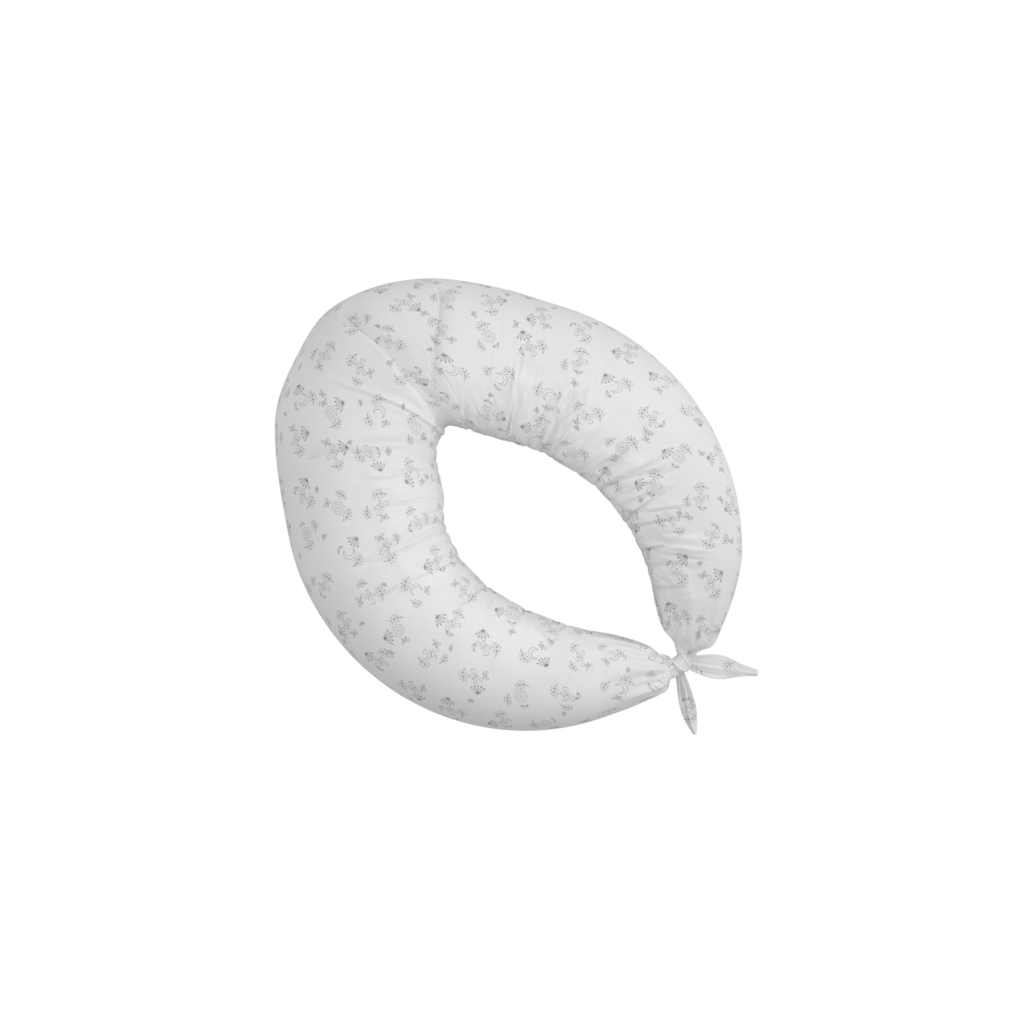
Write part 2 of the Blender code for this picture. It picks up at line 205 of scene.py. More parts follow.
def make_outline():
    """Outer and inner points of each section, and its distance along the tube. They crowd at the bend."""
    pairs = station_pairs().reshape(-1, 4)
    fine = curve(pairs, 4000)
    length = distance_along((fine[:, :2] + fine[:, 2:]) / 2)
    share = np.linspace(0, 1, 2000)
    density = 1 + BEND_CLOSENESS * np.exp(-((share - BEND_SHARE) / BEND_SPREAD) ** 2)
    filled = np.cumsum(density) - density[0]
    at = np.interp(np.linspace(0, filled[-1], ROWS), filled, share) * length[-1]
    rows = np.stack([np.interp(at, length, fine[:, k]) for k in range(4)], axis=1)
    for _ in range(SMOOTH_ROUNDS):
        mean = (rows[:-2] + 2 * rows[1:-1] + rows[2:]) / 4
        rows[FIXED_ENDS:-FIXED_ENDS] = mean[FIXED_ENDS - 1:1 - FIXED_ENDS]
    return rows[:, :2], rows[:, 2:], at


# ---- The tube as a grid: rows run along the ring, columns round it ----

def section_turn(rise, reach):
    """The angle from the outer edge at which a section's outer side passes a height over its centre."""
    share = np.minimum(1.0, np.abs(rise) / reach)
    return np.sign(rise) * np.arcsin(share ** (1 / ROUNDNESS))


class Tube:
    """Sections of the pillow. Column 0 is the outer seam, and the columns go over the top from there."""

    def __init__(self, fineness=1):
        self.rows = (ROWS - 1) * fineness + 1
        self.outer, self.inner, self.along = make_outline()
        at = np.linspace(0, ROWS - 1, self.rows)
        self.outer, self.inner = catmull_rom(self.outer, at), catmull_rom(self.inner, at)
        self.along = np.interp(at, np.arange(ROWS), self.along)
        self.fineness = fineness
        self.width = np.linalg.norm(self.outer - self.inner, axis=1)
        self.half = half_height_of(self.width)
        self.centre_z = smooth_max(self.half, KNOT_HEIGHT)
        self.seam_z = seam_height_of(self.centre_z, self.half)
        self.middle = (self.outer + self.inner) / 2
        self.direction = (self.outer - self.inner) / self.width[:, None]
        self.turns = self.column_turns()
        self.points = self.surface(self.turns)
        self.from_end = np.minimum(self.along, self.along[-1] - self.along)

    def turn_at(self, z):
        rise = z - self.centre_z
        return section_turn(rise, self.half * np.where(rise < 0, 1 + SINK, 1.0))

    def column_turns(self):
        slot = np.minimum(ZIP_SLOT, 0.3 * self.half)
        seam = self.turn_at(self.seam_z)
        above = self.turn_at(self.seam_z + slot)
        below = self.turn_at(self.seam_z - slot) + 2 * math.pi
        inner_seam = math.pi - seam
        upper = np.linspace(above, inner_seam, UPPER_COLUMNS, axis=1)
        lower = np.linspace(inner_seam, below, LOWER_COLUMNS + 1, axis=1)[:, 1:]
        turns = np.concatenate([seam[:, None], upper, lower], axis=1)
        if self.fineness == 1:
            return turns
        closed = np.concatenate([turns, seam[:, None] + 2 * math.pi], axis=1)
        return np.stack([closed[:, :-1], (closed[:, :-1] + closed[:, 1:]) / 2], axis=2).reshape(
            len(turns), -1)

    def surface(self, turns):
        across = signed_power(np.cos(turns)) * (self.width / 2)[:, None]
        reach = self.half[:, None] * (1 + SINK * (np.sin(turns) < 0))
        up = signed_power(np.sin(turns)) * reach
        points = np.empty((*turns.shape, 3))
        points[:, :, :2] = self.middle[:, None] + self.direction[:, None] * across[:, :, None]
        points[:, :, 2] = np.maximum(self.centre_z[:, None] + up, 0.0)
        return points

    def zip_angle(self):
        """Each section's angle round the left arm's centre, from 0 to 360 degrees."""
        away = self.outer - np.array(LEFT_CENTRE)
        return np.degrees(np.arctan2(away[:, 1], away[:, 0])) % 360


def grid_normals(points):
    """Outward unit normals of a grid that is closed round its columns."""
    along = np.gradient(points, axis=0)
    around = np.roll(points, -1, axis=1) - np.roll(points, 1, axis=1)
    normals = np.cross(along, around)
    centre = points.mean(axis=1, keepdims=True)
    if ((points - centre) * normals).sum() < 0:
        normals = -normals
    return unit(normals)


def link_object(name, data, material=None):
    obj = bpy.data.objects.new(name, data)
    bpy.context.collection.objects.link(obj)
    if material:
        data.materials.append(material)
    return obj


def link_mesh(name, vertices, faces, material=None):
    mesh = bpy.data.meshes.new(name)
    mesh.from_pydata([tuple(map(float, v)) for v in vertices], [], faces)
    mesh.validate()
    mesh.shade_smooth()
    return link_object(name, mesh, material)


def grid_faces(rows, columns, skip=None):
    """Quads of a closed grid, leaving out those whose (row, column) is skipped."""
    faces = []
    for i in range(rows - 1):
        for j in range(columns):
            if skip is not None and skip[i, j]:
                continue
            a, b, k = i * columns, (i + 1) * columns, (j + 1) % columns
            faces.append((a + j, b + j, b + k, a + k))
    return faces


def end_means(grid):
    return np.stack([grid[0].mean(axis=0), grid[-1].mean(axis=0)])


def end_fans(points):
    """Middle points of the first and last ring, and the triangles that close the ends."""
    rows, columns = points.shape[:2]
    first, last = rows * columns, rows * columns + 1
    faces = []
    for j in range(columns):
        k = (j + 1) % columns
        faces.append((first, j, k))
        faces.append((last, (rows - 1) * columns + k, (rows - 1) * columns + j))
    return end_means(points), faces


def make_tube_object(name, points, material=None, skip=None):
    vertices, fans = end_fans(points)
    everything = np.concatenate([points.reshape(-1, 3), vertices])
    return link_mesh(name, everything, grid_faces(*points.shape[:2], skip) + fans, material)


# ---- Folds ----

# Creases seen from above, from their faint outer end to the inner edge of the ring:
# (points, depth, half width, lean), in millimetres. A crease that leans drops steeply on the left arm's
# side and rises gently on the other. A negative depth makes a pinched ridge.
# The deepest one is where the filling gives way at the bend.
CREASES = (
    (((39, 369), (40, 329), (41, 302), (40, 276), (33, 238), (29, 206), (23, 182), (21, 165)),
     14.5, 8.5, 0.98),
    (((155, 298), (143, 280), (118, 260), (88, 236), (64, 215), (43, 197), (28, 178), (25, 158)),
     9.5, 5.5, 0.97),
    (((41, 230), (34, 209), (29, 187)), 4.5, 2.8, 0.6),
    (((50, 220), (39, 203), (31, 186)), 4.5, 2.8, 0.5),
    (((42, 183), (36, 165), (34, 148)), 4.5, 3.2, 0.5),
    (((47, 170), (44, 150), (41, 133)), 4.5, 3.2, 0.4),
    (((82, 177), (62, 160), (44, 140)), 3.2, 3.0, 0.4),
    (((-37, 312), (-22, 279), (-7, 247), (2, 224), (10, 201), (14, 173)), -3.6, 3.4, 0.3),
    (((-139, 261), (-85, 220), (-47, 188), (-29, 164), (-18, 138)), 8.0, 5.0, 0.8),
    (((-83, 231), (-40, 194), (-16, 167), (-2, 144)), 5.0, 4.0, 0.6),
    (((-172, 119), (-141, 98), (-106, 81), (-73, 57)), 9.2, 5.0, 0.85),
    (((-146, 107), (-106, 90), (-68, 68)), 6.2, 4.0, 0.7),
    (((-150, 91), (-110, 69), (-78, 44)), 4.0, 3.6, 0.5),
    (((-212, 67), (-187, 60), (-158, 51), (-123, 38), (-90, 16)), 9.2, 5.0, 0.9),
    (((-156, 61), (-112, 39), (-79, 23)), 5.5, 4.0, 0.6),
    (((-149, -19), (-118, -22), (-83, -30)), 8.0, 5.0, 0.8),
    (((-214, 131), (-187, 111), (-154, 88)), 2.6, 5.0, 0.4),
    (((-121, 186), (-77, 160), (-32, 133)), 2.4, 5.0, 0.4),
    (((-85, 102), (-63, 85), (-51, 75)), 3.2, 3.2, 0.4),
    (((-126, -90), (-101, -88), (-71, -87)), 5.2, 4.6, 0.6),
    (((-105, -147), (-81, -144), (-51, -145)), 5.2, 4.6, 0.6),
    (((84, 88), (126, 122), (175, 147), (200, 148)), 4.8, 4.0, 0.6),
    (((83, 64), (114, 76), (161, 84), (192, 77)), 4.8, 4.0, 0.6),
    (((94, 39), (132, 57), (189, 55), (218, 55)), 5.4, 4.2, 0.7),
    (((93, 27), (132, 38), (178, 34)), 4.8, 3.6, 0.6),
    (((137, 55), (158, 61), (184, 64), (212, 65)), 6.2, 4.0, 0.7),
    (((104, -41), (133, -37), (168, -36), (204, -35), (236, -41)), 6.2, 5.2, 0.7),
    (((108, -53), (130, -61), (160, -77), (184, -91)), 4.6, 4.4, 0.6),
    (((99, -105), (123, -104), (153, -112), (187, -124)), 5.2, 4.8, 0.7),
    (((97, -118), (115, -130), (141, -146)), 4.2, 4.2, 0.6),
    (((83, -150), (103, -160), (134, -175)), 4.6, 4.4, 0.6),
    (((71, -168), (88, -182), (114, -201)), 4.0, 4.2, 0.5),
    (((57, -196), (74, -210), (96, -229)), 3.6, 4.0, 0.5),
)
DEEPEST = 0.0140  # that creases may go in, however many meet
SHARP_START = 0.0065  # depth above which a crease begins at once, not by fading in
INNER_SHARE = 0.5  # of the deepest that is left at the inner edge
HIGHEST = 0.0036  # that their lips may rise
CREASE_SWING = 3.1  # how far past the inner edge's top a crease goes on, as an angle from the outer edge
PLEATS = 7  # gathered folds that run into each neck
PLEAT_DEPTH = 0.0030

# Small folds that run in from the inner edge: (first and last share of the tube's length, spacing,
# depth, half width, the angle that they reach up to)
SMALL_FOLDS = (
    (0.08, 0.44, 0.028, 0.0013, 0.0048, 1.45),
    (0.44, 0.62, 0.018, 0.0017, 0.0030, 1.75),
    (0.62, 0.93, 0.015, 0.0022, 0.0029, 0.95),
)
# One small fold: slant in rows per radian, extra reach, share of the half width, and lean
FOLD_LEAST = (-3.0, -0.30, 0.75, -0.3)
FOLD_MOST = (3.0, 0.45, 1.35, 0.9)
FOLD_STRENGTH = (0.35, 1.5)  # share of the depth
FOLD_SPACING = (0.65, 1.4)  # share of the spacing


STEEPER, GENTLER = 0.85, 0.65  # how much a lean narrows one side and widens the other
LEAN_SHARPENS = 0.9
LIP_HEIGHT = 0.30
LIP_PLACE, LIP_WIDTH = 1.9, 1.1  # in half widths of the crease


def crease_profile(away, lean):
    """Height across a crease: a valley between two lips, as a share of its depth."""
    away = np.abs(away / np.where(away < 0, 1 - STEEPER * lean, 1 + GENTLER * lean))
    lips = LIP_HEIGHT * (1 - abs(lean)) * np.exp(-((away - LIP_PLACE) / LIP_WIDTH) ** 2)
    return lips - np.exp(-away ** (2 - LEAN_SHARPENS * abs(lean)))


def crease_push(tube):
    """How far each point of the cover moves outwards for the creases that are listed."""
    points, turns = tube.points, tube.turns
    rows = np.arange(tube.rows)
    step = np.linalg.norm(np.gradient(points, axis=0), axis=2)
    top = points[:, :, 2] >= tube.centre_z[:, None] - 0.01
    push = np.zeros(turns.shape)
    for path, depth, half_width, lean in CREASES:
        depth, half_width = depth / 1000, half_width / 1000
        at_rows, at_turns = [], []
        for x, y in path:
            away = (points[:, :, 0] - x / 1000) ** 2 + (points[:, :, 1] - y / 1000) ** 2 + ~top
            i, j = np.unravel_index(np.argmin(away), away.shape)
            at_rows.append(i)
            at_turns.append(turns[i, j])
        order = np.argsort(at_turns)
        at_turns, at_rows = np.array(at_turns)[order], np.array(at_rows)[order]
        row_of = np.interp(turns, at_turns, at_rows)
        fade = 0.20 if abs(depth) > SHARP_START else 0.50
        start = smooth_step(at_turns[0] - 0.10, at_turns[0] + fade, turns)
        finish = 1 - smooth_step(CREASE_SWING - 0.5, CREASE_SWING + 0.5, turns)
        away = (rows[:, None] - row_of) * step / half_width
        push += depth * crease_profile(away, lean) * start * finish
    return push


def limited(push, turns):
    """Keeps folds that meet from adding up to a hole or a spike, most of all at the inner edge."""
    deepest = DEEPEST * (1 - (1 - INNER_SHARE) * smooth_step(1.6, 2.5, turns))
    return np.where(push < 0, deepest * np.tanh(push / deepest), HIGHEST * np.tanh(push / HIGHEST))


def small_fold_push(tube):
    """Narrow folds side by side along the inner edge, each with its own length, depth and lean."""
    rng = np.random.default_rng(11)
    inner_length = distance_along(tube.inner)
    share = tube.along / tube.along[-1]
    step = np.linalg.norm(np.gradient(tube.points, axis=0), axis=2)
    rows = np.arange(tube.rows)
    push = np.zeros(tube.turns.shape)
    for first, last, spacing, depth, half_width, reach in SMALL_FOLDS:
        at = np.interp(first, share, inner_length)
        end = np.interp(last, share, inner_length)
        while at < end:
            row = np.interp(at, inner_length, rows)
            slant, tall, wide, lean = rng.uniform(FOLD_LEAST, FOLD_MOST)
            strength = depth * rng.uniform(*FOLD_STRENGTH)
            start = smooth_step(reach + tall, reach + tall + 0.75, tube.turns)
            finish = 1 - 0.75 * smooth_step(2.4, 3.0, tube.turns)
            finish = finish - 0.25 * smooth_step(3.2, 4.3, tube.turns)
            bend = slant * (tube.turns - 2.2)
            away = (rows[:, None] - row - bend * tube.fineness) * step / (half_width * wide)
            push += strength * crease_profile(away, lean) * start * finish
            at += spacing * rng.uniform(*FOLD_SPACING)
    return push


def neck_pleats(tube):
    """Folds that run along the tube where it is drawn together at the knot."""
    drawn = smooth_step(0.006, 0.020, tube.from_end) * (1 - smooth_step(0.030, 0.115, tube.from_end))
    sway = 0.6 * np.sin(tube.along / 0.03)
    ridge = np.cos(PLEATS * tube.turns + sway[:, None] * 2)
    ridge = ridge + 0.5 * np.cos((2 * PLEATS + 3) * tube.turns - sway[:, None] * 3)
    small = np.minimum(1.0, tube.width / 0.06)
    return PLEAT_DEPTH * ridge * (drawn * small)[:, None] * (tube.points[:, :, 2] > 0.004)


# The cloth: the inner side is cut longer than the space it fills, so that it gathers into folds.
GROWTH = 0.10
PRESSURE = 9.0
CLOTH_FRAMES = 22
MOST_MOVE = 0.0055  # that the simulation may move any point
LEFT_CALM = 0.55  # share of the move that the left arm keeps
BEND_CORNER = (0.020, 0.160)
# Where the cloth moves, by its lateral place: 1 at a section's outer edge and -1 at its inner one
HELD_LATERAL = (0.35, 0.62)  # it comes to be held between these
HELD_HEIGHT = 0.003  # it lies still below this
HELD_END = (0.045, 0.10)  # it comes free between these distances from the knot
GROWN_LATERAL = (-0.45, 0.75)  # it grows more and more between these, counted from the outer edge
GROWN_END = (0.03, 0.10)
FADED = (0.05, 0.50)  # its moves fade out between these
SWELLING = (160, 2)  # blur rounds, along and round the tube, that leave only the even swelling
CLOTH_SETTINGS = {
    "quality": 5,
    "mass": 0.3,
    "tension_stiffness": 25,
    "compression_stiffness": 25,
    "shear_stiffness": 5,
    "bending_stiffness": 0.3,
    "tension_damping": 5,
    "compression_damping": 5,
    "shear_damping": 5,
    "bending_damping": 0.5,
    "use_pressure": True,
    "uniform_pressure_force": PRESSURE,
    "vertex_group_mass": "held",
    "vertex_group_shrink": "kept",
    "shrink_min": -GROWTH,
    "shrink_max": 0.0,
}


def simulate_cloth(obj, held, kept):
    """Runs Blender's cloth on the object. Held points stay; kept is 1 where the cloth doesn't grow."""
    for name, values in (("held", held), ("kept", kept)):
        group = obj.vertex_groups.new(name=name)
        for index, weight in enumerate(values):
            if weight > 0:
                group.add([index], float(weight), "REPLACE")
    modifier = obj.modifiers.new("cloth", "CLOTH")
    settings = modifier.settings
    for name, value in CLOTH_SETTINGS.items():
        setattr(settings, name, value)
    settings.effector_weights.gravity = 0
    modifier.collision_settings.use_collision = False
    modifier.point_cache.frame_end = CLOTH_FRAMES
    scene = bpy.context.scene
    for number in range(1, CLOTH_FRAMES + 1):
        scene.frame_set(number)
    evaluated = obj.evaluated_get(bpy.context.evaluated_depsgraph_get())
    found = np.empty(len(evaluated.data.vertices) * 3)
    evaluated.data.vertices.foreach_get("co", found)
    return found.reshape(-1, 3)


def blur(values, rounds_along, rounds_around):
    """A smooth copy of a grid of vectors."""
    for _ in range(rounds_along):
        padded = np.concatenate([values[:1], values, values[-1:]])
        values = (padded[:-2] + 2 * values + padded[2:]) / 4
    for _ in range(rounds_around):
        values = (np.roll(values, 1, axis=1) + 2 * values + np.roll(values, -1, axis=1)) / 4
    return values


def refined(values):
    """A grid of vectors at twice the fineness, both along and round the tube."""
    rows, columns = values.shape[:2]
    along = curve(values.reshape(rows, -1), 2 * rows - 1).reshape(2 * rows - 1, columns, 3)
    before, after = np.roll(along, 1, axis=1), np.roll(along, -1, axis=1)
    between = (9 * (along + after) - before - np.roll(along, -2, axis=1)) / 16
    return np.stack([along, between], axis=2).reshape(2 * rows - 1, 2 * columns, 3)


def cloth_moves(tube):
    """How the simulation moves each point of the coarse grid."""
    normals = grid_normals(tube.points)
    push = limited(crease_push(tube) + small_fold_push(tube), tube.turns)
    start = tube.points + normals * push[:, :, None]
    start[:, :, 2] = np.maximum(start[:, :, 2], 0.0)
    lateral = np.cos(tube.turns)
    held = smooth_step(*HELD_LATERAL, lateral)
    held = np.maximum(held, tube.points[:, :, 2] < HELD_HEIGHT)
    held = np.maximum(held, (1 - smooth_step(*HELD_END, tube.from_end))[:, None])
    grown = smooth_step(*GROWN_LATERAL, -lateral) * smooth_step(*GROWN_END, tube.from_end)[:, None]
    helper = make_tube_object("cloth_helper", start)
    ends = np.ones(2)
    result = simulate_cloth(helper, np.concatenate([held.reshape(-1), ends]),
                            np.concatenate([1 - grown.reshape(-1), ends]))
    bpy.data.objects.remove(helper, do_unlink=True)
    bpy.context.scene.frame_set(1)
    moved = result[:-2].reshape(start.shape) - start
    moved = moved - blur(moved, *SWELLING)
    length = np.linalg.norm(moved, axis=2, keepdims=True)
    capped = moved * MOST_MOVE * np.tanh(length / MOST_MOVE) / np.maximum(length, 1e-9)
    capped = (capped - blur(capped, *SWELLING)) * (1 - smooth_step(*FADED, lateral))[:, :, None]
    # the left arm's cloth lies smoother than the right one's, and the bend's inner corner is full
    calm = LEFT_CALM + (1 - LEFT_CALM) * smooth_step(-0.08, 0.04, tube.middle[:, 0])
    from_corner = np.linalg.norm(tube.inner - np.array(BEND_CORNER), axis=1)
    calm = calm * (0.35 + 0.65 * smooth_step(0.02, 0.08, from_corner))
    edge = 1 - 0.5 * smooth_step(2.4, 3.1, tube.turns)
    return capped * (calm[:, None] * edge)[:, :, None]


def folded_cover(fine):
    """The cover's points, after its folds are set and its cloth is simulated."""
    normals = grid_normals(fine.points)
    push = limited(crease_push(fine) + small_fold_push(fine), fine.turns) + neck_pleats(fine)
    points = fine.points + normals * push[:, :, None]
    points = points + refined(cloth_moves(Tube()))
    points[:, :, 2] = np.maximum(points[:, :, 2], 0.0)
    return points


# ---- Shader arithmetic ----

class Field:
    """A number in a shader, so that node arithmetic can be written as ordinary sums."""

    def __init__(self, socket):
        self.socket = socket

    def __add__(self, other):
        return calc("ADD", self, other)

    def __sub__(self, other):
        return calc("SUBTRACT", self, other)

    def __rsub__(self, other):
        return calc("SUBTRACT", other, self)

    def __mul__(self, other):
        return calc("MULTIPLY", self, other)

    def __truediv__(self, other):
        return calc("DIVIDE", self, other)

    def __abs__(self):
        return calc("ABSOLUTE", self)


def connect(target, value):
    """Links a field, or a raw socket, to a node's input, or sets it to a number."""
    value = value.socket if isinstance(value, Field) else value
    if isinstance(value, bpy.types.NodeSocket):
        target.id_data.links.new(value, target)
    else:
        target.default_value = value


def new_node(kind, *values):
    """A node in the tree that the values belong to, with the values on its first inputs."""
    sockets = [value.socket if isinstance(value, Field) else value for value in values]
    tree = next(socket.id_data for socket in sockets if isinstance(socket, bpy.types.NodeSocket))
    node = tree.nodes.new("ShaderNode" + kind)
    for target, value in zip(node.inputs, sockets):
        connect(target, value)
    return node


def calc(operation, *values):
    node = new_node("Math", *values)
    node.operation = operation
    return Field(node.outputs[0])


def vector(x, y, z=0.0):
    return new_node("CombineXYZ", x, y, z).outputs[0]


def parts_of(socket):
    return [Field(out) for out in new_node("SeparateXYZ", socket).outputs]


def vector_calc(operation, *values):
    node = new_node("VectorMath", *values)
    node.operation = operation
    return node


def length_of(point):
    return Field(vector_calc("LENGTH", point).outputs["Value"])


def smooth_range(value, low, high, first=0.0, last=1.0):
    node = new_node("MapRange", value, low, high, first, last)
    node.interpolation_type = "SMOOTHSTEP"
    return Field(node.outputs["Result"])


def turned(point, angle):
    node = new_node("VectorRotate", point)
    node.rotation_type = "Z_AXIS"
    connect(node.inputs["Angle"], angle)
    return node.outputs[0]


def below(value, limit):
    return calc("LESS_THAN", value, limit)


def most(*values):
    result = values[0]
    for value in values[1:]:
        result = calc("MAXIMUM", result, value)
    return result


# ---- The printed motifs, drawn as thin lines in units of their own half size ----

LINE = 0.00024  # half the width of a printed line
SOFT = 0.00018  # how far its edge fades
TUBE_RADIUS = 0.088  # of the tube's surface, on average


def stroke(distance, size, wide=1.0):
    """1 on a line, where the distance is near 0. size is the motif's half size in metres."""
    half = LINE * wide / size
    soft = SOFT / size
    return smooth_range(abs(distance), half - soft, half + soft, 1.0, 0.0)


def ellipse_line(point, centre, radii, size, wide=1.0):
    scale = (1 / radii[0], 1 / radii[1], 0)
    shift = (-centre[0] / radii[0], -centre[1] / radii[1], 0)
    inside = vector_calc("MULTIPLY_ADD", point, scale, shift).outputs[0]
    reach = length_of(inside)
    return stroke((reach - 1.0) * min(radii), size, wide)


def blossom(point, size):
    """A full flower: two rings of petals round its middle, with a short line in each outer petal."""
    x, y, _ = parts_of(point)
    radius = length_of(point)
    turn = calc("ARCTAN2", y, x) * 4.0
    outer = stroke(radius - (abs(calc("COSINE", turn)) * 0.24 + 0.66), size, 0.9)
    middle = stroke(radius - (abs(calc("SINE", turn)) * 0.16 + 0.36), size, 0.9)
    centre = stroke(radius - 0.12, size, 1.2)
    vein = stroke(calc("SINE", turn) * radius * 0.4, size, 0.8)
    vein = vein * below(abs(radius - 0.66), 0.10)
    return most(outer, middle, centre, vein)


def sprig(point, size):
    """A bent stem with slanting pairs of narrow leaves that grow smaller towards both ends."""
    x, y, _ = parts_of(point)
    bent = y - x * x * 0.28 + 0.10
    side = abs(bent)
    stem = stroke(bent, size) * below(abs(x), 0.95)
    slant = x - side * 1.1
    local = (calc("FRACT", slant * 2.0) - 0.5) * 0.5
    swollen = side * (x * x * 0.8 + 1.0)
    leaves = ellipse_line(vector(local, swollen), (0.0, 0.29), (0.10, 0.27), size, 0.9)
    leaves = leaves * below(abs(slant), 0.75)
    return most(stem, leaves)


def butterfly(point, size):
    """Two pairs of fan-shaped wings with veins, mirrored about a body with two feelers."""
    x, y, _ = parts_of(point)
    radius = length_of(point)
    turn = calc("ARCTAN2", y, abs(x))
    reach = None
    for middle, half, length in ((0.58, 0.56, 1.20), (-0.58, 0.56, 0.80)):
        off_middle = calc("POWER", abs(turn - middle) / half, 4.0)
        wing = calc("EXPONENT", off_middle * -1.0) * length
        reach = wing if reach is None else calc("MAXIMUM", reach, wing)
    edge = stroke((radius - reach) * 0.8, size)
    vein = stroke(calc("SINE", turn * 9.0) * radius * 0.11, size, 0.7)
    vein = vein * below(radius, reach * 0.85) * below(0.30 - radius, 0.0)
    body = stroke(x, size, 1.9) * below(abs(y + 0.05), 0.36)
    feeler = stroke(abs(x) - (y - 0.30) * 0.5, size, 0.8) * below(abs(y - 0.52), 0.22)
    return most(edge, vein, body, feeler)


def crescent(point, size):
    """A crescent with two dots beside it."""
    x, y, _ = parts_of(point)
    outer = length_of(point)
    inner = length_of(vector(x - 0.32, y))
    outside = stroke(outer - 0.80, size) * below(0.66 - inner, 0.0)
    inside = stroke(inner - 0.66, size) * below(outer, 0.82)
    near = stroke(length_of(vector(x - 0.62, y + 0.10)), size, 1.6)
    far = stroke(length_of(vector(x - 0.85, y - 0.45)), size, 1.3)
    return most(outside, inside, near, far)


def fan(point, size):
    """Narrow leaves that spread from one point."""
    x, y, _ = parts_of(point)
    rise = y + 0.8
    radius = length_of(vector(x, rise))
    turn = calc("ARCTAN2", x, rise)
    across = (calc("FRACT", turn / 0.36 + 0.5) - 0.5) * radius * 0.36
    leaves = ellipse_line(vector(across, radius), (0.0, 0.95), (0.12, 0.60), size, 0.9)
    stalk = stroke(x, size) * below(abs(y + 0.55), 0.40)
    return most(leaves * below(abs(turn), 0.88), stalk)


def small_leaf(point, size):
    x, y, _ = parts_of(point)
    bent = y + x * x * 0.4
    edge = ellipse_line(vector(x, bent), (0.0, 0.0), (0.80, 0.34), size)
    vein = stroke(bent, size) * below(abs(x), 1.1)
    return most(edge, vein)


# Each cluster: a main motif by chance, with sprigs and small pieces round it.
# (motifs to choose from, place in the cluster, half size, turn)
CLUSTER = (
    ((butterfly, blossom, butterfly, crescent), (0.000, 0.002), 0.0100, 0.2),
    ((sprig,), (-0.0145, -0.0035), 0.0108, 1.0),
    ((sprig, fan), (0.0130, -0.0100), 0.0090, -0.5),
    ((small_leaf, butterfly), (0.0105, 0.0130), 0.0056, 0.9),
)
CELL = (0.062, 0.054)  # one cluster or stray motif for each patch of cloth of this size
STRAY = (((sprig, butterfly), (0.0, 0.0), 0.0050, 0.0),)


def motif_layer(along, girth, turning, seed, cluster, share=1.0):
    """One cluster of motifs in each cell of a grid on the cloth, placed and turned by chance.

    Each row of cells keeps the true length of its own line round the ring, so that the motifs keep
    their size from the ring's outer edge to its inner one.
    """
    shift = seed * 0.5
    row = calc("FLOOR", girth / CELL[1] + shift)
    row_girth = (row + 0.5 - shift) * CELL[1]
    true_along = along + turning * TUBE_RADIUS * calc("SINE", row_girth / TUBE_RADIUS)
    shifted = true_along / CELL[0] + row * 0.5 + seed * 3.5
    place = calc("FLOOR", shifted)
    noise = new_node("TexWhiteNoise", vector(place, row, float(seed)))
    noise.noise_dimensions = "3D"
    chance, spin, drift = parts_of(noise.outputs["Color"])
    x = (shifted - place - 0.5 + (spin - 0.5) * 0.16) * CELL[0]
    y = girth - row_girth + (drift - 0.5) * 0.16 * CELL[1]
    local = turned(vector(x, y), spin * 2 * math.pi)
    layer = None
    for number, (motifs, spot, size, turn) in enumerate(cluster):
        centred = vector_calc("SUBTRACT", local, (*spot, 0.0)).outputs[0]
        scaled = vector_calc("MULTIPLY", centred, (1 / size, 1 / size, 0.0)).outputs[0]
        point = turned(scaled, turn)
        pick = calc("FRACT", chance * (3.0 + number * 4) + number * 0.3)
        for index, motif in enumerate(motifs):
            middle = (index + 0.5) / len(motifs)
            chosen = below(abs(pick - middle), 0.5 / len(motifs))
            drawn = motif(point, size) * chosen
            layer = drawn if layer is None else calc("MAXIMUM", layer, drawn)
    return layer * below(drift, share)


# ---- Materials ----

def new_material(name, colour, roughness, metallic=0.0):
    material = bpy.data.materials.new(name)
    material.use_nodes = True
    shader = material.node_tree.nodes["Principled BSDF"]
    shader.inputs["Base Color"].default_value = (*colour, 1.0)
    shader.inputs["Roughness"].default_value = roughness
    shader.inputs["Metallic"].default_value = metallic
    return material, material.node_tree, shader


def mix_colours(share, first, second):
    node = new_node("Mix", share)
    node.data_type = "RGBA"
    for target, colour in ((node.inputs[6], first), (node.inputs[7], second)):
        connect(target, colour if isinstance(colour, bpy.types.NodeSocket) else (*colour, 1.0))
    return node.outputs[2]


def noise_field(point, scale, detail=3.0):
    node = new_node("TexNoise", point)
    node.inputs["Scale"].default_value = scale
    node.inputs["Detail"].default_value = detail
    return Field(node.outputs["Fac"])


def cloth_point(tree):
    """Where a point lies on its cloth: along it, across it, and how far the tube has turned."""
    attribute = tree.nodes.new("ShaderNodeAttribute")
    attribute.attribute_name = "cloth"
    return parts_of(attribute.outputs["Vector"])


def object_point(tree):
    return tree.nodes.new("ShaderNodeTexCoord").outputs["Object"]


def add_bump(shader, height, distance, strength=1.0):
    node = shader.id_data.nodes.new("ShaderNodeBump")
    node.inputs["Distance"].default_value = distance
    node.inputs["Strength"].default_value = strength
    connect(node.inputs["Height"], height)
    connect(shader.inputs["Normal"], node.outputs["Normal"])


def weave_height(across, down, thread):
    """Threads that pass over and under each other, 0 to 1."""
    turn = math.pi / thread
    over = calc("SINE", across * turn) * calc("SINE", down * turn)
    return over * 0.5 + 0.5


WRINKLE_HEIGHT = 0.0022
PRINT_COLOUR = (0.165, 0.165, 0.190)
CLOTH_COLOUR = (0.835, 0.835, 0.835)


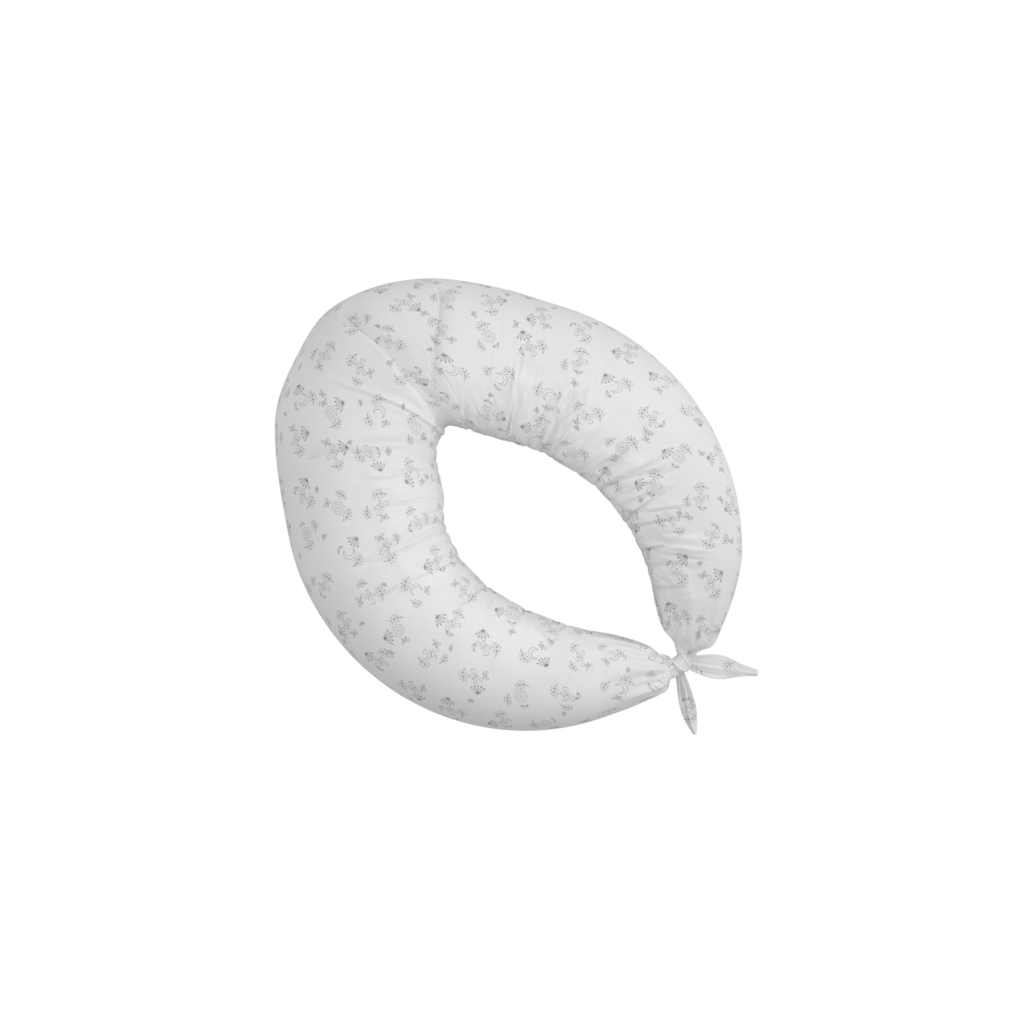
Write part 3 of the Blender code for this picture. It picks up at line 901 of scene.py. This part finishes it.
def cloth_material(name, colour, thread=0.00045, printed=False):
    material, tree, shader = new_material(name, colour, 0.95)
    shader.inputs["Sheen Weight"].default_value = 0.15
    shader.inputs["Sheen Roughness"].default_value = 0.5
    shader.inputs["Specular IOR Level"].default_value = 0.15
    along, girth, turning = cloth_point(tree)
    point = object_point(tree)
    cloudy = noise_field(point, 9.0)
    slub = noise_field(vector(along * 60, girth * 900), 1.0)
    base = mix_colours(smooth_range(cloudy, 0.35, 0.65), colour,
                       tuple(0.965 * part for part in colour))
    base = mix_colours(smooth_range(slub, 0.45, 0.75, 0.0, 0.35), base,
                       tuple(0.90 * part for part in colour))
    if printed:
        large = motif_layer(along, girth, turning, 0, CLUSTER)
        stray = motif_layer(along, girth, turning, 1, STRAY, 0.6)
        ink = most(large, stray)
        worn = smooth_range(noise_field(point, 350.0, 2.0), 0.25, 0.60, 0.72, 0.95)
        base = mix_colours(ink * worn, base, PRINT_COLOUR)
    connect(shader.inputs["Base Color"], base)
    weave = weave_height(along, girth, thread)
    soft = noise_field(point, 260.0, 2.0)
    height = (weave * 0.5 + soft) * 0.00013
    if printed:
        # thin wrinkles that run in from the ring's inner edge
        sway = noise_field(point, 14.0, 1.0)
        wrinkle = noise_field(vector(along * 95.0 + sway * 3.0, girth * 7.0), 1.0, 1.5)
        inner = smooth_range(girth, -0.020, -0.075)
        height = height + wrinkle * inner * WRINKLE_HEIGHT
    add_bump(shader, height, 1.0, 1.0)
    return material


def grain_roughness(shader, grain, low, high, distance, strength):
    """Grain that changes how rough a surface is, and roughens its shape."""
    connect(shader.inputs["Roughness"], smooth_range(grain, 0.3, 0.7, low, high))
    add_bump(shader, grain, distance, strength)


def metal_material():
    material, tree, shader = new_material("zip_metal", (0.62, 0.62, 0.63), 0.32, 0.95)
    drawn_out = (300.0, 300.0, 4000.0)
    stretch = vector_calc("MULTIPLY", object_point(tree), drawn_out).outputs[0]
    grain_roughness(shader, noise_field(stretch, 1.0, 2.0), 0.24, 0.42, 0.00003, 0.5)
    return material


def plastic_material():
    material, tree, shader = new_material("zip_coil", (0.80, 0.80, 0.81), 0.42)
    shader.inputs["Subsurface Weight"].default_value = 0.1
    shader.inputs["Subsurface Radius"].default_value = (0.001, 0.001, 0.001)
    grain_roughness(shader, noise_field(object_point(tree), 1500.0, 2.0), 0.36, 0.50, 0.00003, 0.4)
    return material


def tape_material():
    """Herringbone tape."""
    colour, band_width, thread = (0.78, 0.78, 0.785), 0.0022, 0.0008
    material, tree, shader = new_material("zip_tape", colour, 0.85)
    along, girth, _ = cloth_point(tree)
    band = abs(calc("FRACT", girth / band_width) - 0.5)
    herring = calc("SINE", (along + band * band_width) * (2 * math.pi / thread))
    shade = smooth_range(herring, -1.0, 1.0, 0.0, 0.35)
    connect(shader.inputs["Base Color"], mix_colours(shade, colour, (0.66, 0.66, 0.67)))
    add_bump(shader, herring, 0.00012, 0.6)
    return material


def fibre_material():
    material, tree, shader = new_material("fibre_fill", (0.90, 0.90, 0.89), 0.95)
    shader.inputs["Sheen Weight"].default_value = 0.3
    point = object_point(tree)
    tufts = noise_field(point, 45.0, 6.0)
    base = mix_colours(smooth_range(tufts, 0.3, 0.7), (0.93, 0.93, 0.92), (0.82, 0.82, 0.81))
    connect(shader.inputs["Base Color"], base)
    add_bump(shader, tufts + noise_field(point, 420.0, 4.0) * 0.4, 0.002, 0.8)
    return material


def thread_material():
    material, tree, shader = new_material("sewing_thread", (0.82, 0.82, 0.82), 0.7)
    twist = noise_field(object_point(tree), 2500.0, 1.0)
    base = mix_colours(smooth_range(twist, 0.35, 0.65), (0.84, 0.84, 0.84), (0.68, 0.68, 0.69))
    connect(shader.inputs["Base Color"], base)
    add_bump(shader, twist, 0.00005, 0.5)
    return material


COVER_CLOTH = cloth_material("printed_cotton", CLOTH_COLOUR, printed=True)
CASING_CLOTH = cloth_material("casing_cotton", (0.86, 0.85, 0.82), thread=0.0006)
HEM_CLOTH = cloth_material("hem_cotton", CLOTH_COLOUR)
TAPE_CLOTH = tape_material()
COIL_PLASTIC = plastic_material()
METAL = metal_material()
FIBRE = fibre_material()
THREAD = thread_material()


# ---- Cover, casing and filling ----

def set_cloth_attribute(obj, values):
    """Stores where each point lies on its cloth, for the weave and the print."""
    attribute = obj.data.attributes.new("cloth", "FLOAT_VECTOR", "POINT")
    attribute.data.foreach_set("vector", np.asarray(values, dtype=np.float32).reshape(-1))


def set_cloth_grid(obj, along, across, turning=0.0):
    """The same for a tube object, from values that fill the grid of its points."""
    grid = np.stack(np.broadcast_arrays(along, across, turning), axis=-1)
    set_cloth_attribute(obj, np.concatenate([grid.reshape(-1, 3), end_means(grid)]))


def cloth_places(tube):
    """For each point: distance along the ring, distance round the tube from its top, and turning."""
    lengths = np.linalg.norm(np.diff(tube.points, axis=1), axis=2)
    round_tube = np.concatenate([np.zeros((tube.rows, 1)), np.cumsum(lengths, axis=1)], axis=1)
    top = np.array([np.interp(math.pi / 2, turns, lengths_here)
                    for turns, lengths_here in zip(tube.turns, round_tube)])
    girth = top[:, None] - round_tube
    heading = np.unwrap(np.arctan2(tube.direction[:, 1], tube.direction[:, 0]))
    turning = np.abs(heading - heading[0])
    return np.broadcast_arrays(tube.along[:, None], girth, turning[:, None])


def blend_arms(obj):
    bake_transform(obj)


def subdivide(obj):
    modifier = obj.modifiers.new("smooth", "SUBSURF")
    modifier.levels = 1
    modifier.render_levels = 1


SEAM_GROOVE = 0.0011

tube = Tube(2)
cover_points = folded_cover(tube)
normals = grid_normals(cover_points)
grooved = cover_points.copy()
for column in (0, 2 * UPPER_COLUMNS):  # the outer and the inner seam
    deep = np.minimum(SEAM_GROOVE, 0.1 * tube.half)[:, None]
    grooved[:, column] -= normals[:, column] * deep

# the zip's slot is left open, between the columns above and below the outer seam
zip_turn = tube.zip_angle()
zipped = (zip_turn > ZIP_FIRST - SLOT_SPARE) & (zip_turn < ZIP_LAST + SLOT_SPARE)
zipped = zipped & (tube.middle[:, 0] < 0)
both_zipped = zipped & np.roll(zipped, -1)
skip = np.zeros(tube.turns.shape, dtype=bool)
skip[both_zipped, :2] = True
skip[both_zipped, -2:] = True

cover = make_tube_object("cover", grooved, COVER_CLOTH, skip)
places = cloth_places(tube)
set_cloth_grid(cover, *places)
blend_arms(cover)
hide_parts("cover_upper_left", "cover_upper_right", "cover_lower_left", "cover_lower_right")


def make_inner_layer(name, depth, material, nodes):
    """A closed layer under the cover, at an even depth, at half the cover's fineness."""
    wide = tube.width / 2 > 0.018
    inside = (cover_points - normals * depth)[wide][::3, ::2]
    inside[:, :, 2] = np.maximum(inside[:, :, 2], depth)
    obj = make_tube_object(name, inside, material)
    set_cloth_grid(obj, *(values[wide][::3, ::2] for values in places))
    blend_arms(obj)
    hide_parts(*nodes)


make_inner_layer("casing", CASING_DEPTH, CASING_CLOTH,
                 ("casing_upper_left", "casing_upper_right", "casing_lower_left", "casing_lower_right"))
make_inner_layer("filling", FILLING_DEPTH, FIBRE, ("filling_left", "filling_right"))


# ---- Swept tubes, for stitches, teeth and rolled edges ----

def swept(paths, sides=8):
    """Vertices and faces of closed tubes. Each path is rows of points, and a radius for each row."""
    vertices, faces = [], []
    for path, radii in paths:
        path = np.asarray(path, dtype=float)
        radii = np.broadcast_to(np.asarray(radii, dtype=float), len(path))
        run = unit(np.gradient(path, axis=0))
        guide = np.array([0.0, 0.0, 1.0]) if abs(run[0, 2]) < 0.8 else np.array([1.0, 0.0, 0.0])
        side = unit(np.cross(run, guide))
        up = np.cross(side, run)
        turns = np.linspace(0, 2 * math.pi, sides, endpoint=False)
        ring = (side[:, None] * np.cos(turns)[None, :, None] + up[:, None] * np.sin(turns)[None, :, None])
        first = len(vertices)
        vertices.extend((path[:, None] + ring * radii[:, None, None]).reshape(-1, 3))
        for i in range(len(path) - 1):
            for j in range(sides):
                k = (j + 1) % sides
                a, b = first + i * sides, first + (i + 1) * sides
                faces.append((a + j, a + k, b + k, b + j))
        faces.append(tuple(first + j for j in range(sides))[::-1])
        last = first + (len(path) - 1) * sides
        faces.append(tuple(last + j for j in range(sides)))
    return vertices, faces


# ---- Zip ----

def zip_surface(degrees, height, depth):
    """Points on the left arm's outer side, at heights from the seam and depths below the surface."""
    degrees, height, depth = np.broadcast_arrays(*(np.asarray(v, dtype=float)
                                                   for v in (degrees, height, depth)))
    width, radius = left_arc_shape(degrees)
    half = half_height_of(width)
    centre_z = smooth_max(half, KNOT_HEIGHT)
    rise = seam_height_of(centre_z, half) + height - centre_z
    reach = half * np.where(rise < 0, 1 + SINK, 1.0) - depth
    turn = section_turn(rise, reach)
    across = signed_power(np.cos(turn)) * (width / 2 - depth) - width / 2
    points = np.empty((*degrees.shape, 3))
    points[..., :2] = polar(LEFT_CENTRE, radius + across, degrees)
    points[..., 2] = centre_z + signed_power(np.sin(turn)) * reach
    return points


ZIP_STEPS = 120
zip_degrees = np.linspace(ZIP_FIRST, ZIP_LAST, ZIP_STEPS)
slot_degrees = np.linspace(ZIP_FIRST - SLOT_SPARE, ZIP_LAST + SLOT_SPARE, ZIP_STEPS)
ZIP_ARC_LENGTH = math.radians(ZIP_LAST - ZIP_FIRST) * LEFT_SEAM_RADIUS


def make_tape(side, level):
    """One side of the zip's tape: a thin closed strip behind the slot."""
    heights = np.array([0.0003, 0.002, 0.005, 0.008, 0.0105, TAPE_HEIGHT]) * side
    outside = zip_surface(slot_degrees[:, None], heights[None, :], TAPE_DEPTH - 0.0002)
    inside = zip_surface(slot_degrees[:, None], heights[None, ::-1], TAPE_DEPTH + 0.0002)
    ring = np.concatenate([outside, inside], axis=1)
    obj = make_tube_object(f"zip_tape_{level}_cloth", ring, TAPE_CLOTH)
    arc = np.radians(slot_degrees - ZIP_FIRST) * LEFT_SEAM_RADIUS
    set_cloth_grid(obj, arc[:, None], np.concatenate([heights, heights[::-1]]))
    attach(obj, "left_arm")
    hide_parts(f"zip_tape_{level}")


TOOTH_PITCH = 0.0013
TOOTH_RADIUS = 0.00052
# Along each loop: height from the seam, depth below the cloth and thickness as a share
LOOP = np.array(((0.0019, 0.0003, 0.9), (0.0012, -0.0004, 1.0), (0.0002, -0.0006, 1.0),
                 (-0.0006, -0.0001, 0.75)))
CORE_HEIGHTS = (0.0019, 0.0015)  # of the cords that the loops are sewn over
CORE_RADIUS = 0.00035


def make_coil(side, level):
    """One half of the closed chain: loops that reach over the middle between those of the other."""
    count = int(ZIP_ARC_LENGTH / TOOTH_PITCH)
    shift = 0.25 if side > 0 else 0.75
    degrees = ZIP_FIRST + (np.arange(count) + shift) / count * (ZIP_LAST - ZIP_FIRST)
    heights, depths, sizes = (side * LOOP[:, 0], LOOP[:, 1], LOOP[:, 2] * TOOTH_RADIUS)
    bars = [(zip_surface(degree, heights, depths), sizes) for degree in degrees]
    bars += [(zip_surface(zip_degrees, side * height, 0.0006), CORE_RADIUS) for height in CORE_HEIGHTS]
    obj = link_mesh(f"zip_coil_{level}_teeth", *swept(bars, 6), COIL_PLASTIC)
    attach(obj, "left_arm")
    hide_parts(f"zip_coil_{level}")


HEM_RADIUS = 0.0007
STITCH_LENGTH = 0.0022
STITCH_PITCH = 0.0031
STITCH_RADIUS = 0.00022
STITCH_OFFSET = 0.0035  # from the slot's edge
STITCH_DEPTHS = np.array((0.0004, -0.0002, -0.0002, 0.0004))
HEM_DEPTH = 0.0006


def make_hems():
    """Rolled cloth edges of the slot, and the row of stitches beside each of them."""
    edges, stitches = [], []
    count = int(ZIP_ARC_LENGTH / STITCH_PITCH)
    step = (ZIP_LAST - ZIP_FIRST) / count
    for side in (1, -1):
        edges.append((zip_surface(slot_degrees, side * ZIP_SLOT, HEM_DEPTH), HEM_RADIUS))
        for k in range(count):
            start = ZIP_FIRST + (k + 0.15) * step
            degrees = np.linspace(start, start + step * STITCH_LENGTH / STITCH_PITCH, 4)
            path = zip_surface(degrees, side * (ZIP_SLOT + STITCH_OFFSET), STITCH_DEPTHS)
            stitches.append((path, STITCH_RADIUS))
    for degree in (slot_degrees[0], slot_degrees[-1]):
        edges.append((zip_surface(degree, np.linspace(-ZIP_SLOT, ZIP_SLOT, 9), HEM_DEPTH), HEM_RADIUS))
    hem = link_mesh("zip_hem", *swept(edges, 10), HEM_CLOTH)
    set_cloth_attribute(hem, np.array([v.co for v in hem.data.vertices]))
    sewn = link_mesh("zip_stitches", *swept(stitches, 6), THREAD)
    for obj in (hem, sewn):
        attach(obj, "left_arm")


def seam_place(degrees):
    """A matrix whose x is outwards and y along the seam, at an angle of the seam's arc."""
    turn = math.radians(degrees)
    spot = polar(LEFT_CENTRE, LEFT_SEAM_RADIUS, degrees)
    return Matrix.Translation((*map(float, spot), SEAM_HEIGHT)) @ Matrix.Rotation(turn, 4, "Z")


def rounded_boxes(name, boxes, place, bevel):
    """Boxes with rounded edges, as one piece."""
    bm = bmesh.new()
    for low, high in boxes:
        made = bmesh.ops.create_cube(bm, size=1.0)
        size = Vector(high) - Vector(low)
        bmesh.ops.scale(bm, vec=size, verts=made["verts"])
        bmesh.ops.translate(bm, vec=(Vector(high) + Vector(low)) / 2, verts=made["verts"])
        edges = {edge for vert in made["verts"] for edge in vert.link_edges}
        bmesh.ops.bevel(bm, geom=list(edges), offset=min(bevel, min(size) * 0.4), segments=3,
                        affect="EDGES", profile=0.5)
    bmesh.ops.transform(bm, matrix=place, verts=bm.verts)
    mesh = bpy.data.meshes.new(name)
    bm.to_mesh(mesh)
    bm.free()
    mesh.shade_smooth()
    mesh.set_sharp_from_angle(angle=math.radians(50))
    obj = link_object(name, mesh, METAL)
    return obj


def both_sides(near, far):
    """The span from near to far on each side of the middle, each as (low, high)."""
    return [(-far, -near), (near, far)]


def make_slider():
    """A plate over the chain with a flange on each side, and the bridge that holds the pull."""
    half_length, half_height = 0.0055, 0.0038
    plate, flange, bridge = (0.0019, 0.0031), (-0.0007, 0.0023), (0.0029, 0.0057)
    bridge_top, bridge_reach, bridge_half = 0.0049, 0.0034, 0.0008
    boxes = [((plate[0], -half_length, -half_height), (plate[1], half_length, half_height))]
    flanges, posts = both_sides(0.0027, half_height), both_sides(0.0025, bridge_reach)
    for (low, high), (near, far) in zip(flanges, posts):
        boxes.append(((flange[0], -half_length, low), (flange[1], half_length, high)))
        boxes.append(((bridge[0], near, -bridge_half), (bridge[1], far, bridge_half)))
    boxes.append(((bridge_top, -bridge_reach, -bridge_half), (bridge[1], bridge_reach, bridge_half)))
    body = rounded_boxes("zip_slider_body", boxes, seam_place(SLIDER_ANGLE), 0.0004)
    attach(body, "zip_slider")
    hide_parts("zip_slider")


def make_pull():
    """A tab with a window, hung by two arms from a pin under the slider's bridge."""
    axis, thin, pin, half_width = 0.0040, 0.0005, 0.00045, 0.0024
    ends = ((0.0046, 0.0118), (0.0205, 0.0250))  # of the tab, before and after its window
    window = (0.0115, 0.0208)
    boxes = [((axis - thin, near, -half_width), (axis + thin, far, half_width)) for near, far in ends]
    boxes.append(((axis - pin, -pin, -0.0017), (axis + pin, pin, 0.0017)))
    for arm, rail in zip(both_sides(0.0015, half_width), both_sides(0.0012, half_width)):
        boxes.append(((axis - pin, -pin, arm[0]), (axis + pin, 0.0050, arm[1])))
        boxes.append(((axis - thin, window[0], rail[0]), (axis + thin, window[1], rail[1])))
    body = rounded_boxes("zip_pull_tab", boxes, seam_place(SLIDER_ANGLE), 0.00035)
    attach(body, "zip_pull")
    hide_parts("zip_pull")


def make_stops():
    """A clip round the chain at each of its ends, in two halves."""
    half_thick, half_height, middle_height = 0.0010, 0.0013, 0.0016
    for name, end, low, high in (("zip_top_stop", ZIP_FIRST, -1.2, -0.05),
                                 ("zip_bottom_stop", ZIP_LAST, 0.05, 1.2)):
        reach = math.radians(high - low) * LEFT_SEAM_RADIUS / 2
        boxes = [((-half_thick, -reach, height - half_height), (half_thick, reach, height + half_height))
                 for height in (-middle_height, middle_height)]
        stop = rounded_boxes(f"{name}_clip", boxes, seam_place(end + (low + high) / 2), 0.0005)
        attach(stop, "left_arm")
        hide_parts(name)


make_tape(1, "upper")
make_tape(-1, "lower")
make_coil(1, "upper")
make_coil(-1, "lower")
make_hems()
make_slider()
make_pull()
make_stops()


# ---- Knot and tails ----

# the cover's cloth again, because its print lies along each strand's and tail's own length
KNOT_COTTON = cloth_material("knot_cotton", CLOTH_COLOUR, printed=True)


STRAND_ROUNDNESS = 0.85


def make_strand(name, path, widths, thicks, faces_out, pleats, depth, seed, twist=0.0):
    """A flattened strand of gathered cloth along a path. faces_out points away from its flat side."""
    count = 49
    path = curve(path, count)
    share = np.linspace(0, 1, count)
    width = np.interp(share, np.linspace(0, 1, len(widths)), widths)
    thick = np.interp(share, np.linspace(0, 1, len(thicks)), thicks)
    out = curve(faces_out, count)
    run = unit(np.gradient(path, axis=0))
    out = unit(out - run * (out * run).sum(axis=1, keepdims=True))
    side = np.cross(out, run)
    turns = np.linspace(0, 2 * math.pi, 60, endpoint=False)
    phase = np.random.default_rng(seed).uniform(0, 6, 3)
    ridge = np.zeros((count, len(turns)))
    for k, strength in enumerate((1.0, 0.6, 0.35)):
        waves = pleats + 2 * k + 1
        sway = 0.7 * np.sin(share * 5 + phase[k]) + waves * twist * (share - 0.5)
        ridge += strength * np.cos(waves * turns[None, :] + phase[k] + sway[:, None])
    across = signed_power(np.cos(turns), STRAND_ROUNDNESS)
    up = signed_power(np.sin(turns), STRAND_ROUNDNESS)
    reach = 1 + ridge * (depth / np.maximum(thick, 0.003))[:, None] * 0.5
    points = (path[:, None] + side[:, None] * (across * width[:, None] * reach)[:, :, None]
              + out[:, None] * (up * thick[:, None] * reach)[:, :, None])
    obj = make_tube_object(name, points, KNOT_COTTON)
    set_cloth_grid(obj, distance_along(path)[:, None] + 0.3 * seed,
                   np.cos(turns) * width[:, None] + 0.02 * seed)
    subdivide(obj)
    return obj


# The inner strand, from the knot's middle: it widens into both necks
CORE_PATH = ((-0.031, 0.026, 0), (-0.022, 0.014, 0), (-0.0145, 0.005, 0), (-0.007, 0.001, 0),
             (0, 0, 0.001), (0.007, 0, 0), (0.014, 0.0035, 0), (0.022, 0.010, 0), (0.031, 0.016, 0))
CORE_WIDTHS = (0.0175, 0.0165, 0.0120, 0.0085, 0.0070, 0.0085, 0.0120, 0.0165, 0.0180)
CORE_THICKS = (0.0165, 0.0155, 0.0115, 0.0080, 0.0068, 0.0080, 0.0115, 0.0155, 0.0165)
# Each wrap: offset along the neck at the front and at the back, half width, radius, first turn, seed
WRAPS = (("knot_wrap", -0.0042, 0.0030, 0.0050, 0.0100, -0.35, 5),
         ("knot_wrap_second", 0.0056, -0.0018, 0.0048, 0.0094, -0.20, 8))
WRAP_WIDTHS = np.array((0.8, 1.0, 1.1, 1.0, 0.8))
WRAP_THICKS = (0.0030, 0.0036, 0.0038, 0.0036, 0.0030)


def knot_point(x, y, z):
    return (KNOT[0] + x, KNOT[1] + y, KNOT[2] + z)


def make_knot():
    """The strand inside the knot, and the two bands that wrap slantwise round it."""
    core = make_strand("knot_inner_strand", [knot_point(*place) for place in CORE_PATH],
                       CORE_WIDTHS, CORE_THICKS, [(0, 0, 1)] * 5, pleats=6, depth=0.0034, seed=3,
                       twist=3.2)
    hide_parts("knot_core")
    bands = []
    for name, front, back, half, radius, start, seed in WRAPS:
        path, out = [], []
        for turn in np.linspace(start * math.pi, (start + 2.1) * math.pi, 13):
            direction = (0.0, math.cos(turn), math.sin(turn))
            along = front + (back - front) * (0.5 - 0.5 * math.sin(turn + 0.5))
            path.append(knot_point(along, direction[1] * radius, direction[2] * radius))
            out.append(direction)
        bands.append(make_strand(name, path, half * WRAP_WIDTHS, WRAP_THICKS, out, pleats=3,
                                 depth=0.0018, seed=seed))
    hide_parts("knot_band")
    for obj in (core, *bands):
        blend_arms(obj)


TAIL_ROWS = 46
TAIL_COLUMNS = 25
TAIL_START = -0.10  # share of its run at which a tail begins, inside the knot
TAIL_HALF_THICK = 0.0016
TAIL_LOWEST = 0.0006
TAIL_PLEAT = 0.0024
TAIL_CURL = 0.0030
TAIL_BOW = 0.0014


def make_tail(name, root, tip, sag, outline, body, flat, fold, seed):
    """A leaf of doubled cloth: gathered where it leaves the knot, and lying on the floor at its tip."""
    root = np.array(root)
    run = np.array(tip) - root
    length = np.linalg.norm(run[:2])
    side = np.array([-run[1], run[0], 0.0]) / length
    share = np.linspace(TAIL_START, 1.0, TAIL_ROWS)
    half = table_value(outline, share)
    for _ in range(3):
        half[1:-1] = (half[:-2] + 2 * half[1:-1] + half[2:]) / 4
    centre = root + run * share[:, None]
    centre[:, 2] -= sag * np.sin(math.pi * np.clip(share, 0, 1))
    phase = np.random.default_rng(seed).uniform(0, 6, 4)
    v = np.linspace(-1, 1, TAIL_COLUMNS)
    down, wide = share[:, None], half[:, None]
    pleat = np.cos(2.6 * math.pi * v + phase[0] + 1.2 * down)
    pleat = pleat + 0.5 * np.cos(5.2 * math.pi * v + phase[1])
    lift = TAIL_PLEAT * pleat * (1 - smooth_step(0.05, 0.75, down)) * np.minimum(1, wide / 0.012)
    ridge = np.exp(-((v - 0.25 * np.cos(3 * down + phase[3])) / 0.28) ** 2)
    lift = lift + fold * ridge * smooth_step(0.0, 0.3, down)
    lift = lift + TAIL_CURL * v**2 * np.sin(phase[2] + 5.0 * down) * smooth_step(0.1, 0.5, down)
    lift = lift + TAIL_BOW * np.sin(2 * math.pi * down + phase[3])
    up = np.cross(unit(np.gradient(centre, axis=0)), side)
    up = np.where(up[:, 2:] < 0, -up, up)[:, None]
    middle = centre[:, None] + side * (wide * v)[:, :, None] + up * lift[:, :, None]
    crown = up * (TAIL_HALF_THICK * np.sqrt(np.maximum(0, 1 - np.abs(v) ** 3)))[:, None]
    ring = np.concatenate([middle + crown, (middle - crown)[:, -2:0:-1]], axis=1)
    ring[:, :, 2] = np.maximum(ring[:, :, 2], TAIL_LOWEST)
    obj = make_tube_object(name, ring, KNOT_COTTON)
    # placed on the print so that no motif is cut off at a tip
    set_cloth_grid(obj, down * length + 0.5 * seed - 0.008,
                   wide * np.concatenate([v, v[-2:0:-1]]) + 0.1 * seed)
    subdivide(obj)
    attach(obj, body)
    return obj


TAIL_RIGHT = {  # outline: (share of the run from root to tip, half width)
    "root": (0.0190, -0.3040, 0.0430),
    "tip": (0.0757, -0.3870, 0.0085),
    "sag": 0.010,
    "outline": ((-0.10, 0.0050), (0.0, 0.0085), (0.08, 0.0115), (0.20, 0.0148), (0.35, 0.0172),
                (0.48, 0.0172), (0.62, 0.0135), (0.75, 0.0092), (0.88, 0.0064), (1.0, 0.0046)),
    "flat": (0.040, 0.115),
    "fold": 0.0020,
}
TAIL_DOWN = {
    "root": (0.0010, -0.3050, 0.0410),
    "tip": (-0.0466, -0.3822, 0.0085),
    "sag": 0.009,
    "outline": ((-0.10, 0.0045), (0.0, 0.0062), (0.12, 0.0080), (0.30, 0.0102), (0.48, 0.0114),
                (0.64, 0.0112), (0.80, 0.0084), (0.92, 0.0050), (1.0, 0.0024)),
    "flat": (0.030, 0.105),
    "fold": 0.0030,
}

make_knot()
right_tail = make_tail("tail_right_leaf", body="tail_right", seed=2, **TAIL_RIGHT)
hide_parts("tie_tail_right")
down_tail = make_tail("tail_down_leaf", body="tail_down", seed=4, **TAIL_DOWN)
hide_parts("tie_tail_down")

# ---- Floor, light and camera ----

CAMERA_HEIGHT = 3.375
CAMERA_SPOT = (0.0025, 0.0158)
CAMERA_UP = (0.7254, 0.6884, 0.0)
FLOOR_REACH = 60.0
FLOOR_HEIGHT = -0.0004
WHITE = (1, 1, 1, 1)


def split_by_camera(tree, light, seen, target):
    """The camera sees one shader, and every other ray meets the other."""
    path = tree.nodes.new("ShaderNodeLightPath")
    mix = new_node("MixShader", path.outputs["Is Camera Ray"], light.outputs[0], seen.outputs[0])
    connect(target, mix.outputs[0])


def make_floor():
    """White as the camera sees it, and a plain light floor for the rays that light the pillow."""
    corners = [(x * FLOOR_REACH, y * FLOOR_REACH, FLOOR_HEIGHT)
               for x, y in ((-1, -1), (1, -1), (1, 1), (-1, 1))]
    material = bpy.data.materials.new("floor")
    floor = link_mesh("floor", corners, [(0, 1, 2, 3)], material)
    material.use_nodes = True
    tree = material.node_tree
    tree.nodes.clear()
    seen = tree.nodes.new("ShaderNodeEmission")
    seen.inputs["Color"].default_value = WHITE
    seen.inputs["Strength"].default_value = 1.0
    matte = tree.nodes.new("ShaderNodeBsdfDiffuse")
    matte.inputs["Color"].default_value = (0.55, 0.55, 0.56, 1)
    output = tree.nodes.new("ShaderNodeOutputMaterial")
    split_by_camera(tree, matte, seen, output.inputs["Surface"])


def make_camera():
    data = bpy.data.cameras.new("camera")
    data.lens = 85
    data.sensor_width = 36
    camera = link_object("camera", data)
    up = Vector(CAMERA_UP).normalized()
    camera.matrix_world = Matrix(((up.y, up.x, 0, CAMERA_SPOT[0]),
                                  (-up.x, up.y, 0, CAMERA_SPOT[1]),
                                  (0, 0, 1, CAMERA_HEIGHT),
                                  (0, 0, 0, 1)))
    bpy.context.scene.camera = camera


def add_light(name, place, size, power):
    """A square light that points at the middle of the ring and isn't seen itself."""
    data = bpy.data.lights.new(name, "AREA")
    data.energy = power
    data.size = size
    light = link_object(name, data)
    light.location = place
    light.rotation_euler = (-Vector(place)).to_track_quat("-Z", "Y").to_euler()
    light.visible_camera = False


def make_world(strength):
    """An even light from all round, which the camera itself sees as white."""
    world = bpy.data.worlds.new("world")
    world.use_nodes = True
    tree = world.node_tree
    light = tree.nodes["Background"]
    light.inputs["Color"].default_value = (0.985, 0.99, 1.0, 1)
    light.inputs["Strength"].default_value = strength
    seen = tree.nodes.new("ShaderNodeBackground")
    seen.inputs["Color"].default_value = WHITE
    split_by_camera(tree, light, seen, tree.nodes["World Output"].inputs["Surface"])
    bpy.context.scene.world = world


make_floor()
make_camera()
make_world(strength=0.62)
add_light("key", (1.9, -0.80, 1.40), 1.3, 19)
add_light("fill", (-0.6, 2.2, 1.4), 1.3, 8.4)
add_light("inside", (0.02, 0.0, 0.40), 0.3, 0.148)
bpy.context.scene.view_settings.view_transform = "Standard"
